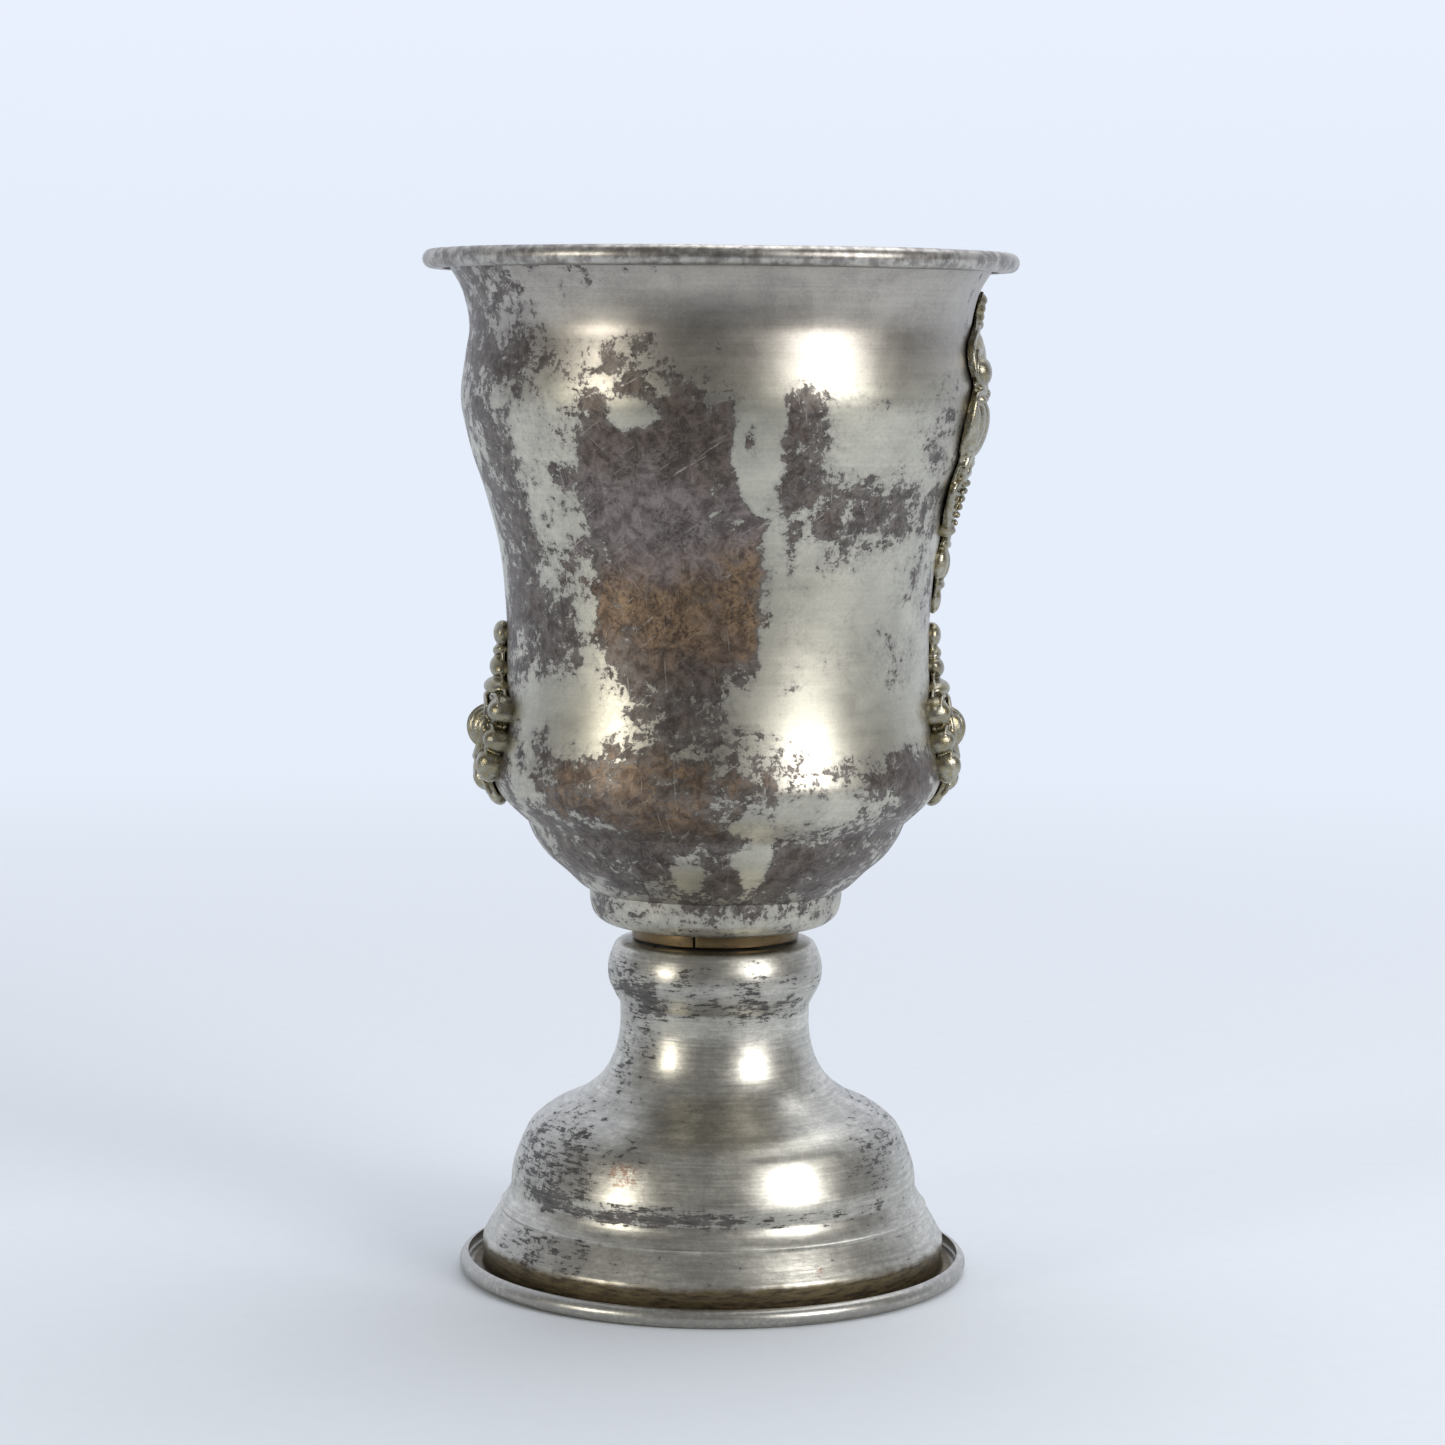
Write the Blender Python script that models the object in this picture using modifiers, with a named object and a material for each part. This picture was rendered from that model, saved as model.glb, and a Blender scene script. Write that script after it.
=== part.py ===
"""A two-piece metal chalice: a spun bowl on a spun foot, joined by a threaded stud and a nut.

Metres, +Z up, origin on the floor under the middle of the foot, +X towards the tall ornament.
"""

import math

import bmesh
import bpy
from mathutils import Vector

MM = 0.001

# Sizes that can be set by themselves
WALL = 0.75 * MM            # thickness of the spun sheet
GAP = 0.3 * MM              # clearance between touching pieces
FOOT_HEIGHT = 49.4 * MM     # floor to the flat top of the foot
FOOT_RADIUS = 30.0 * MM     # the foot where its bell meets the cone
FOOT_CONE_DROP = 7.25 * MM  # height of the straight cone at the bottom of the foot
FOOT_CONE_SPREAD = 4.1 * MM  # how far that cone spreads
STEM_RADIUS = 14.0 * MM     # the foot's neck, under its knop
GUTTER_WIDTH = 2.1 * MM     # from the cone's turned-down wall to the base ring's middle
BASE_RING_HEIGHT = 2.7 * MM  # the curled-up edge of the foot
COLLAR_RADIUS = 12.3 * MM
COLLAR_HEIGHT = 1.8 * MM
COLLAR_THICKNESS = 1.0 * MM
COLLAR_SEAM_ANGLE = -106.0  # degrees round from +X
BOWL_HEIGHT = 98.2 * MM     # bowl's seat to the top of its lip
BOWL_RADIUS = 37.65 * MM    # the widest ring of the bowl's wall
LIP_HEIGHT = 2.8 * MM
LIP_OVERHANG = 4.05 * MM    # how far the rolled lip stands out from the wall
STUD_RADIUS = 3.0 * MM      # M6
STUD_LENGTH = 13.6 * MM     # below its flange
STUD_FLANGE_RADIUS = 6.0 * MM
STUD_FLANGE_HEIGHT = 1.2 * MM
SOLDER_WIDTH = 1.6 * MM
WASHER_RADIUS = 9.0 * MM
WASHER_THICKNESS = 1.0 * MM
WASHER_DISH = 1.2 * MM
NUT_ACROSS_FLATS = 10.0 * MM
NUT_HEIGHT = 5.0 * MM
EMBLEM_TOP = 5.2 * MM       # from the top of the lip down to the emblem's tip
EMBLEM_HEIGHT = 47.2 * MM
EMBLEM_HALF_WIDTH = 16.0 * MM
ROSETTE_BOTTOM = 18.1 * MM  # from the bowl's seat up to the rosette's lower tip
ROSETTE_HEIGHT = 26.4 * MM
ROSETTE_HALF_WIDTH = 10.4 * MM
ROSETTE_BOSS_RISE = 4.9 * MM
PAD_THICKNESS = 0.4 * MM    # solder between an ornament and the wall
PLATE_THICKNESS = 1.0 * MM

# Detail of the facets
TURNS = 36
SMALL_TURNS = 24

# The bowl's wall, from under the lip to the groove, as (share of BOWL_RADIUS, share of BOWL_HEIGHT)
BOWL_WALL = (
    (1.041, 0.972), (0.993, 0.939), (0.967, 0.890), (0.980, 0.850), (1.000, 0.786),
    (0.978, 0.736), (0.950, 0.695), (0.906, 0.646), (0.848, 0.560), (0.824, 0.470), (0.822, 0.400),
    (0.834, 0.327), (0.864, 0.264), (0.879, 0.231), (0.862, 0.207), (0.826, 0.187),
    (0.768, 0.166), (0.738, 0.156),
)
# The shallow saucer under the groove, and the drum that it stands on
BOWL_SAUCER = ((0.736, 0.155), (0.709, 0.132), (0.660, 0.106), (0.592, 0.0835), (0.531, 0.061), (0.494, 0.052))
BOWL_DRUM = ((0.494, 0.051), (0.489, 0.030), (0.473, 0.0145), (0.441, 0.004), (0.410, 0.0))

# The foot from its top edge to the neck, as (share of STEM_RADIUS, share of FOOT_HEIGHT)
FOOT_KNOP = (
    (0.886, 1.0), (1.020, 0.994), (1.075, 0.974), (1.118, 0.938), (1.129, 0.905),
    (1.114, 0.874), (1.064, 0.842), (1.010, 0.814),
)
FOOT_NECK = ((0.998, 0.808), (0.996, 0.745), (1.022, 0.690), (1.060, 0.650))
# The bell below the neck, as (share of the way from STEM_RADIUS to FOOT_RADIUS, share of FOOT_HEIGHT)
FOOT_BELL = (
    (0.095, 0.619), (0.160, 0.587), (0.262, 0.555), (0.422, 0.520), (0.625, 0.490),
    (0.765, 0.457), (0.850, 0.425), (0.935, 0.362), (0.985, 0.310), (1.0, 0.250),
)

BOWL_SEAT = FOOT_HEIGHT + COLLAR_HEIGHT + 2 * GAP
CUP_HEIGHT = BOWL_SEAT + BOWL_HEIGHT


def smooth(points, steps):
    """Points on a Catmull-Rom curve through the given ones, with this many steps between each two."""
    ends = [points[0]] + list(points) + [points[-1]]
    curve = []
    for before, start, end, after in zip(ends, ends[1:], ends[2:], ends[3:]):
        for i in range(steps):
            t = i / steps
            curve.append(tuple(
                0.5 * (2 * b + (c - a) * t + (2 * a - 5 * b + 4 * c - d) * t**2 + (3 * b - a - 3 * c + d) * t**3)
                for a, b, c, d in zip(before, start, end, after)
            ))
    return curve + [tuple(points[-1])]


def arc(centre, radius, start, end, steps):
    """Points on an arc between two angles in degrees."""
    angles = [math.radians(start + (end - start) * i / steps) for i in range(steps + 1)]
    return [(centre[0] + radius * math.cos(a), centre[1] + radius * math.sin(a)) for a in angles]


def bowl_stations(shares):
    return [(r * BOWL_RADIUS, BOWL_SEAT + h * BOWL_HEIGHT) for r, h in shares]


def lip_profile():
    """The sheet's outer face round the rolled lip, from the end of the curl inwards to the wall."""
    curl = (LIP_HEIGHT - 2 * WALL) / 2
    wall_radius, _ = bowl_stations(BOWL_WALL)[0]
    centre = (wall_radius + LIP_OVERHANG - WALL - curl, CUP_HEIGHT - LIP_HEIGHT / 2)
    end = (wall_radius + WALL + GAP, centre[1] - curl)
    bend = arc((wall_radius + WALL, CUP_HEIGHT - 2 * WALL), WALL, 90, 180, 2)
    return [end] + arc(centre, curl, -90, 90, 4) + bend


def bowl_profile():
    """The sheet's outer face from the lip down to the middle of the seat."""
    wall = smooth(bowl_stations(BOWL_WALL), 1)
    saucer = smooth(bowl_stations(BOWL_SAUCER), 1)
    drum = smooth(bowl_stations(BOWL_DRUM), 1)
    return lip_profile() + wall + saucer + drum + [(COLLAR_RADIUS, BOWL_SEAT), (0.0, BOWL_SEAT)]


def wall_radius(height):
    """The radius of the bowl's outer wall at a height."""
    wall = smooth(bowl_stations(BOWL_WALL), 4)
    for (r_above, z_above), (r_below, z_below) in zip(wall, wall[1:]):
        if z_below <= height <= z_above:
            share = (height - z_below) / (z_above - z_below)
            return r_below + (r_above - r_below) * share
    return wall[0][0] if height > wall[0][1] else wall[-1][0]


def foot_profile():
    """The sheet's outer face from the stud's hole down to the end of the curled base ring."""
    knop = [(r * STEM_RADIUS, h * FOOT_HEIGHT) for r, h in FOOT_KNOP]
    neck = [(r * STEM_RADIUS, h * FOOT_HEIGHT) for r, h in FOOT_NECK]
    spread = FOOT_RADIUS - STEM_RADIUS
    bell = [(STEM_RADIUS + r * spread, h * FOOT_HEIGHT) for r, h in FOOT_BELL]
    cone_top = bell[-1][1]
    cone_foot = (FOOT_RADIUS + FOOT_CONE_SPREAD, cone_top - FOOT_CONE_DROP)
    gutter_floor = WALL
    curl = (BASE_RING_HEIGHT - 2 * WALL) / 2
    ring = (cone_foot[0] + GUTTER_WIDTH, gutter_floor + curl)
    turned_down = [cone_foot, (cone_foot[0] - 0.1 * MM, gutter_floor + 1.0 * MM)]
    corner = [(cone_foot[0] + 0.3 * MM, gutter_floor), ((cone_foot[0] + ring[0]) / 2, gutter_floor)]
    hole = (STUD_RADIUS + GAP, FOOT_HEIGHT)
    return (
        [hole] + smooth(knop, 1) + smooth(neck, 1) + smooth(bell, 1)
        + turned_down + corner + arc(ring, curl, -90, 90, 4)
    )


def new_collection(name):
    collection = bpy.data.collections.new(name)
    bpy.context.scene.collection.children.link(collection)
    return collection


def new_material(name, colour, roughness, metallic=1.0):
    material = bpy.data.materials.new(name)
    material.use_nodes = True
    shader = material.node_tree.nodes["Principled BSDF"]
    shader.inputs["Base Color"].default_value = (*colour, 1.0)
    shader.inputs["Roughness"].default_value = roughness
    shader.inputs["Metallic"].default_value = metallic
    return material


def add_object(name, mesh, material, collection):
    obj = bpy.data.objects.new(name, mesh)
    mesh.materials.append(material)
    collection.objects.link(obj)
    return obj


def add_turned(name, profile, material, collection, turns=TURNS, closed=False):
    """Turns a profile in the XZ plane about the Z axis."""
    mesh = bpy.data.meshes.new(name)
    edges = [(i, i + 1) for i in range(len(profile) - 1)]
    if closed:
        edges.append((len(profile) - 1, 0))
    mesh.from_pydata([(r, 0.0, z) for r, z in profile], edges, [])
    obj = add_object(name, mesh, material, collection)
    screw = obj.modifiers.new("Turn", "SCREW")
    screw.axis = "Z"
    screw.steps = turns
    screw.render_steps = turns
    screw.use_merge_vertices = True
    screw.merge_threshold = 0.00001
    return obj


def add_solidify(obj, thickness, offset):
    solidify = obj.modifiers.new("Sheet", "SOLIDIFY")
    solidify.thickness = thickness
    solidify.offset = offset
    solidify.use_even_offset = True


def add_boolean(obj, other, operation):
    boolean = obj.modifiers.new(operation.title(), "BOOLEAN")
    boolean.operation = operation
    boolean.object = other
    boolean.use_self = operation == "UNION"


def as_helper(obj):
    obj.hide_render = True
    obj.display_type = "WIRE"
    return obj


def add_bowl(material, collection):
    bowl = add_turned("bowl", bowl_profile(), material, collection)
    add_solidify(bowl, WALL, -1.0)


def add_foot(material, collection):
    foot = add_turned("foot", foot_profile(), material, collection)
    add_solidify(foot, WALL, -1.0)


def add_collar(material, collection, helpers):
    """A strip bent into a ring, with a butt seam, between the foot and the bowl."""
    low = FOOT_HEIGHT + GAP
    high = low + COLLAR_HEIGHT
    inner = COLLAR_RADIUS - COLLAR_THICKNESS
    profile = [(COLLAR_RADIUS, high), (COLLAR_RADIUS, low), (inner, low), (inner, high)]
    collar = add_turned("stem_collar", profile, material, collection, closed=True)
    mesh = bpy.data.meshes.new("seam_cutter")
    shape = bmesh.new()
    bmesh.ops.create_cube(shape, size=1.0)
    bmesh.ops.scale(shape, vec=(4 * COLLAR_THICKNESS, GAP, 2 * COLLAR_HEIGHT), verts=shape.verts)
    shape.to_mesh(mesh)
    shape.free()
    cutter = as_helper(add_object("seam_cutter", mesh, material, helpers))
    angle = math.radians(COLLAR_SEAM_ANGLE)
    cutter.location = (COLLAR_RADIUS * math.cos(angle), COLLAR_RADIUS * math.sin(angle), (low + high) / 2)
    cutter.rotation_euler.z = angle
    add_boolean(collar, cutter, "DIFFERENCE")


def add_stud(steel, solder, collection):
    """The threaded stud with its flange, and the fillet of solder that holds it under the bowl."""
    flange_top = BOWL_SEAT - GAP
    flange_low = flange_top - STUD_FLANGE_HEIGHT
    low = flange_low - STUD_LENGTH
    chamfer = STUD_RADIUS / 6
    profile = [
        (0.0, flange_top), (STUD_FLANGE_RADIUS, flange_top), (STUD_FLANGE_RADIUS, flange_low),
        (STUD_RADIUS, flange_low), (STUD_RADIUS, low + chamfer), (STUD_RADIUS - chamfer, low), (0.0, low),
    ]
    add_turned("bowl_stud", profile, steel, collection, SMALL_TURNS)
    inner = STUD_FLANGE_RADIUS + GAP
    fillet = [(inner + SOLDER_WIDTH, flange_top), (inner, flange_low + GAP), (inner, flange_top)]
    add_turned("stud_solder", fillet, solder, collection, SMALL_TURNS, closed=True)


def add_washer(material, collection):
    """A dished washer: its outer edge bears on the foot's top from inside, its middle on the nut."""
    top = FOOT_HEIGHT - WALL - GAP
    hole = STUD_RADIUS + GAP
    profile = [
        (WASHER_RADIUS, top), (WASHER_RADIUS, top - WASHER_THICKNESS),
        (hole, top - WASHER_THICKNESS - WASHER_DISH), (hole, top - WASHER_DISH),
    ]
    add_turned("clamp_washer", profile, material, collection, SMALL_TURNS, closed=True)


def add_nut(material, collection, helpers):
    """A hexagon nut with chamfered corners."""
    top = FOOT_HEIGHT - WALL - 2 * GAP - WASHER_THICKNESS - WASHER_DISH
    middle = top - NUT_HEIGHT / 2
    corner = NUT_ACROSS_FLATS / 2 / math.cos(math.radians(30))
    mesh = bpy.data.meshes.new("clamp_nut")
    shape = bmesh.new()
    bmesh.ops.create_cone(
        shape, cap_ends=True, segments=6, radius1=corner, radius2=corner, depth=NUT_HEIGHT,
    )
    bmesh.ops.translate(shape, vec=(0.0, 0.0, middle), verts=shape.verts)
    shape.to_mesh(mesh)
    shape.free()
    nut = add_object("clamp_nut", mesh, material, collection)
    hole = STUD_RADIUS + GAP
    flat = NUT_ACROSS_FLATS / 2
    rise = (corner - flat) / 2
    envelope = [
        (flat, top), (corner, top - rise), (corner, top - NUT_HEIGHT + rise), (flat, top - NUT_HEIGHT),
        (hole, top - NUT_HEIGHT), (hole, top),
    ]
    turned = as_helper(add_turned("nut_envelope", envelope, material, helpers, SMALL_TURNS, closed=True))
    add_boolean(nut, turned, "INTERSECT")


def on_wall(side, across, height, proud):
    """A place beside the bowl's wall: across is the distance round it, proud the distance out of it."""
    radius = wall_radius(height)
    angle = across / radius
    return Vector((side * (radius + proud) * math.cos(angle), (radius + proud) * math.sin(angle), height))


def add_plate(name, side, low, height, widths, back, material, collection):
    """A plate bent to the bowl's wall. Widths are half widths at even steps from its lower end up."""
    columns, rows = 6, 2 * (len(widths) - 1)
    outline = smooth([(w, i) for i, w in enumerate(widths)], 2)
    mesh = bpy.data.meshes.new(name)
    shape = bmesh.new()
    bmesh.ops.create_grid(shape, x_segments=columns, y_segments=rows, size=1.0)
    for vert in shape.verts:
        share = (vert.co.y + 1) / 2
        half_width = outline[round(share * rows)][0]
        vert.co = on_wall(side, vert.co.x * half_width, low + share * height, back)
    bmesh.ops.recalc_face_normals(shape, faces=shape.faces)
    if sum(face.normal.x * side for face in shape.faces) < 0:
        bmesh.ops.reverse_faces(shape, faces=shape.faces)
    shape.to_mesh(mesh)
    shape.free()
    plate = add_object(name, mesh, material, collection)
    add_solidify(plate, PLATE_THICKNESS, 1.0)
    return plate


def add_lumps(name, side, lumps, material, helpers):
    """Rounded lumps on a plate, each (across, height, half width, half height, rise from the plate's middle)."""
    mesh = bpy.data.meshes.new(name)
    shape = bmesh.new()
    seat = GAP + PAD_THICKNESS + GAP + PLATE_THICKNESS / 2
    for across, height, half_width, half_height, rise in lumps:
        made = bmesh.ops.create_uvsphere(shape, u_segments=10, v_segments=6, radius=1.0)["verts"]
        for vert in made:
            depth = rise if vert.co.x > 0 else PLATE_THICKNESS * 0.4
            place = (across + vert.co.y * half_width, height + vert.co.z * half_height)
            vert.co = on_wall(side, *place, seat + vert.co.x * depth)
        if side < 0:
            bmesh.ops.reverse_faces(shape, faces=list({face for vert in made for face in vert.link_faces}))
    shape.to_mesh(mesh)
    shape.free()
    return as_helper(add_object(name, mesh, material, helpers))


def add_pad(name, side, height, half_height, half_width, material, collection):
    """Solder between an ornament's back and the wall."""
    low = height - half_height
    widths = (half_width * 0.7, half_width, half_width * 0.7)
    pad = add_plate(name, side, low, 2 * half_height, widths, GAP, material, collection)
    pad.modifiers["Sheet"].thickness = PAD_THICKNESS


def add_emblem(cast, solder, collection, helpers):
    """The tall ornament on the +X side: a finial, two leaves, a tapering pendant and a drop."""
    top = CUP_HEIGHT - EMBLEM_TOP
    low = top - EMBLEM_HEIGHT
    w = EMBLEM_HALF_WIDTH
    h = EMBLEM_HEIGHT
    shares = (0.08, 0.28, 0.29, 0.70, 0.85, 0.90, 1.0, 0.85, 0.87, 0.25, 0.06)
    widths = [w * share for share in shares]
    back = 2 * GAP + PAD_THICKNESS
    emblem = add_plate("emblem", 1, low, h, widths, back, cast, collection)
    lumps = [
        (0.0, low + 0.05 * h, 0.11 * w, 0.045 * h, 1.2 * MM),
        (0.0, low + 0.17 * h, 0.22 * w, 0.07 * h, 1.6 * MM),
        (0.0, low + 0.30 * h, 0.16 * w, 0.035 * h, 1.7 * MM),
        (0.0, low + 0.42 * h, 0.40 * w, 0.12 * h, 1.5 * MM),
        (0.0, low + 0.60 * h, 0.62 * w, 0.10 * h, 1.5 * MM),
        (-0.62 * w, low + 0.62 * h, 0.26 * w, 0.06 * h, 1.2 * MM),
        (0.62 * w, low + 0.62 * h, 0.26 * w, 0.06 * h, 1.2 * MM),
        (0.0, low + 0.75 * h, 0.17 * w, 0.04 * h, 1.9 * MM),
        (0.0, low + 0.84 * h, 0.40 * w, 0.06 * h, 1.4 * MM),
        (0.0, low + 0.94 * h, 0.16 * w, 0.055 * h, 1.3 * MM),
    ]
    add_boolean(emblem, add_lumps("emblem_lumps", 1, lumps, cast, helpers), "UNION")
    add_pad("emblem_solder_upper", 1, low + 0.66 * h, 3.0 * MM, 4.0 * MM, solder, collection)
    add_pad("emblem_solder_lower", 1, low + 0.30 * h, 2.0 * MM, 2.0 * MM, solder, collection)


def add_rosette(name, side, cast, solder, collection, helpers):
    """An ornament low on the bowl: a knob on a beaded stem, petals round a boss, and a tongue below."""
    low = BOWL_SEAT + ROSETTE_BOTTOM
    w = ROSETTE_HALF_WIDTH
    h = ROSETTE_HEIGHT
    shares = (0.14, 0.50, 0.92, 1.0, 0.96, 0.50, 0.30, 0.24, 0.11)
    widths = [w * share for share in shares]
    back = 2 * GAP + PAD_THICKNESS
    rosette = add_plate(name, side, low, h, widths, back, cast, collection)
    middle = low + 0.42 * h
    lumps = [
        (0.0, middle, 0.52 * w, 0.16 * h, ROSETTE_BOSS_RISE - back - PLATE_THICKNESS / 2),
        (0.0, low + 0.04 * h, 0.20 * w, 0.055 * h, 1.3 * MM),
        (0.0, low + 0.16 * h, 0.36 * w, 0.06 * h, 1.6 * MM),
        (0.0, low + 0.66 * h, 0.30 * w, 0.05 * h, 1.5 * MM),
        (0.0, low + 0.76 * h, 0.26 * w, 0.05 * h, 1.4 * MM),
        (0.0, low + 0.84 * h, 0.22 * w, 0.045 * h, 1.3 * MM),
        (0.0, low + 0.93 * h, 0.26 * w, 0.055 * h, 1.7 * MM),
    ]
    for across in (-0.74 * w, 0.74 * w):
        for rise in (-0.17, 0.01, 0.18):
            lumps.append((across, middle + rise * h, 0.26 * w, 0.062 * h, 1.7 * MM))
    add_boolean(rosette, add_lumps(name + "_lumps", side, lumps, cast, helpers), "UNION")
    add_pad(name + "_solder", side, middle, 3.0 * MM, 4.5 * MM, solder, collection)


def shade_smooth(collection):
    for obj in collection.objects:
        obj.data.shade_smooth()
        obj.data.set_sharp_from_angle(angle=math.radians(35))


def main():
    for obj in list(bpy.data.objects):
        bpy.data.objects.remove(obj)
    parts = new_collection("chalice")
    helpers = new_collection("cutters")
    silver = new_material("silver_plate", (0.55, 0.54, 0.52), 0.28)
    cast = new_material("cast_silver", (0.58, 0.50, 0.38), 0.38)
    brass = new_material("brass", (0.62, 0.44, 0.20), 0.35)
    steel = new_material("steel", (0.45, 0.45, 0.46), 0.40)
    solder = new_material("solder", (0.42, 0.42, 0.40), 0.50)
    add_foot(silver, parts)
    add_bowl(silver, parts)
    add_collar(brass, parts, helpers)
    add_stud(steel, solder, parts)
    add_washer(steel, parts)
    add_nut(steel, parts, helpers)
    add_emblem(cast, solder, parts, helpers)
    add_rosette("rosette_right", 1, cast, solder, parts, helpers)
    add_rosette("rosette_left", -1, cast, solder, parts, helpers)
    shade_smooth(parts)


main()
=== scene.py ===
"""A worn silver-plated chalice: the finished look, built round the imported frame."""

import math

import bpy
import numpy as np
from mathutils import Matrix, Vector


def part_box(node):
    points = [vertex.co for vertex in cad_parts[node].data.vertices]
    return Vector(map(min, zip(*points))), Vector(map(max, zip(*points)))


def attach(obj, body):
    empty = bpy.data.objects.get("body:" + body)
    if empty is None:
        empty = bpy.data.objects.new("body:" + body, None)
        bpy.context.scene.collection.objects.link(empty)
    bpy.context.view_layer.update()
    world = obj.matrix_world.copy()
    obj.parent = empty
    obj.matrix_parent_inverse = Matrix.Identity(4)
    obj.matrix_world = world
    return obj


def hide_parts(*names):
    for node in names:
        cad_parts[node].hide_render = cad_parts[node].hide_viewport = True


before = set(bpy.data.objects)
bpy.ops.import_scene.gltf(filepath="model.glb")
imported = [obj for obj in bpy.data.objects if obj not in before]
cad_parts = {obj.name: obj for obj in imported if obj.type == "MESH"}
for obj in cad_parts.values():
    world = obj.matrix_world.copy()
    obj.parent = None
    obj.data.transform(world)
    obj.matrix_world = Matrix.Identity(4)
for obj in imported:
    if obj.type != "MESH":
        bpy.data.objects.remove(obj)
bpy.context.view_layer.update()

bl_info = {
    "name": "Silver-plated chalice",
    "version": (1, 0, 0),
    "blender": (4, 5, 0),
    "location": "3D View > Sidebar > Chalice",
    "description": "Builds a spun and cast chalice with worn silver plate",
    "category": "Add Mesh",
}

MM = 0.001
BOWL_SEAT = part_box("bowl")[0][2]
CUP_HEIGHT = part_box("bowl")[1][2]
FOOT_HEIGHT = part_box("foot")[1][2]
BOWL_HEIGHT = CUP_HEIGHT - BOWL_SEAT
BOWL_RADIUS = 37.65 * MM    # the widest ring of the bowl's wall
STEM_RADIUS = 14.0 * MM
FOOT_RADIUS = 30.0 * MM     # where the foot's bell meets its cone
FOOT_CONE_DROP = 7.25 * MM
FOOT_CONE_SPREAD = 4.1 * MM
GUTTER_WIDTH = 2.1 * MM
BASE_RING_HEIGHT = 2.7 * MM
LIP_HEIGHT = 2.8 * MM
LIP_OVERHANG = 4.05 * MM
EMBLEM_SIDE = 1

# The bowl's wall from under the lip to the groove, as (share of BOWL_RADIUS, share of BOWL_HEIGHT)
BOWL_WALL = (
    (1.041, 0.972), (0.993, 0.939), (0.967, 0.890), (0.980, 0.850), (1.000, 0.786),
    (0.978, 0.736), (0.950, 0.695), (0.906, 0.646), (0.848, 0.560), (0.824, 0.470), (0.822, 0.400),
    (0.834, 0.327), (0.864, 0.264), (0.879, 0.231), (0.862, 0.207), (0.826, 0.187),
    (0.768, 0.166), (0.738, 0.156),
)
BOWL_SAUCER = ((0.736, 0.155), (0.709, 0.132), (0.660, 0.106), (0.592, 0.0835), (0.531, 0.061), (0.494, 0.052))
BOWL_DRUM = ((0.494, 0.051), (0.489, 0.030), (0.473, 0.0145), (0.441, 0.004), (0.410, 0.0))
# The foot from its top edge to the neck, as (share of STEM_RADIUS, share of FOOT_HEIGHT)
FOOT_KNOP = (
    (0.886, 1.0), (1.020, 0.994), (1.075, 0.974), (1.118, 0.938), (1.129, 0.905),
    (1.114, 0.874), (1.064, 0.842), (1.010, 0.814),
)
FOOT_NECK = ((0.998, 0.808), (0.996, 0.745), (1.022, 0.690), (1.060, 0.650))
# The bell below the neck, as (share of the way from STEM_RADIUS to FOOT_RADIUS, share of FOOT_HEIGHT)
FOOT_BELL = (
    (0.095, 0.619), (0.160, 0.587), (0.262, 0.555), (0.422, 0.520), (0.625, 0.490),
    (0.765, 0.457), (0.850, 0.425), (0.935, 0.362), (0.985, 0.310), (1.0, 0.250),
)


# ---------------------------------------------------------------- outlines

def smooth(points, steps):
    """Points on a Catmull-Rom curve through the given ones, with this many steps between each two."""
    ends = [points[0]] + list(points) + [points[-1]]
    curve = []
    for before, start, end, after in zip(ends, ends[1:], ends[2:], ends[3:]):
        for i in range(steps):
            t = i / steps
            curve.append(tuple(
                0.5 * (2 * b + (c - a) * t + (2 * a - 5 * b + 4 * c - d) * t**2 + (3 * b - a - 3 * c + d) * t**3)
                for a, b, c, d in zip(before, start, end, after)
            ))
    return curve + [tuple(points[-1])]


def arc(centre, radius, start, end, steps):
    """Points on an arc between two angles in degrees."""
    angles = [math.radians(start + (end - start) * i / steps) for i in range(steps + 1)]
    return [(centre[0] + radius * math.cos(a), centre[1] + radius * math.sin(a)) for a in angles]


def bowl_stations(shares):
    return [(r * BOWL_RADIUS, BOWL_SEAT + h * BOWL_HEIGHT) for r, h in shares]


def bowl_outline(wall):
    """The sheet's outer face from the end of the lip's curl down to the middle of the seat."""
    curl = (LIP_HEIGHT - 2 * wall) / 2
    neck_radius, _ = bowl_stations(BOWL_WALL)[0]
    centre = (neck_radius + LIP_OVERHANG - wall - curl, CUP_HEIGHT - LIP_HEIGHT / 2)
    curl_end = (neck_radius + wall + 0.4 * MM, centre[1] - curl)
    bend = arc((neck_radius + wall, CUP_HEIGHT - 2 * wall), wall, 90, 180, 6)
    side = smooth(bowl_stations(BOWL_WALL), 4)
    saucer = smooth(bowl_stations(BOWL_SAUCER), 3)
    drum = smooth(bowl_stations(BOWL_DRUM), 3)
    seat = [(12.0 * MM, BOWL_SEAT), (6.0 * MM, BOWL_SEAT), (0.0, BOWL_SEAT)]
    return [curl_end] + arc(centre, curl, -90, 90, 10) + bend + side + saucer + drum + seat


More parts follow.
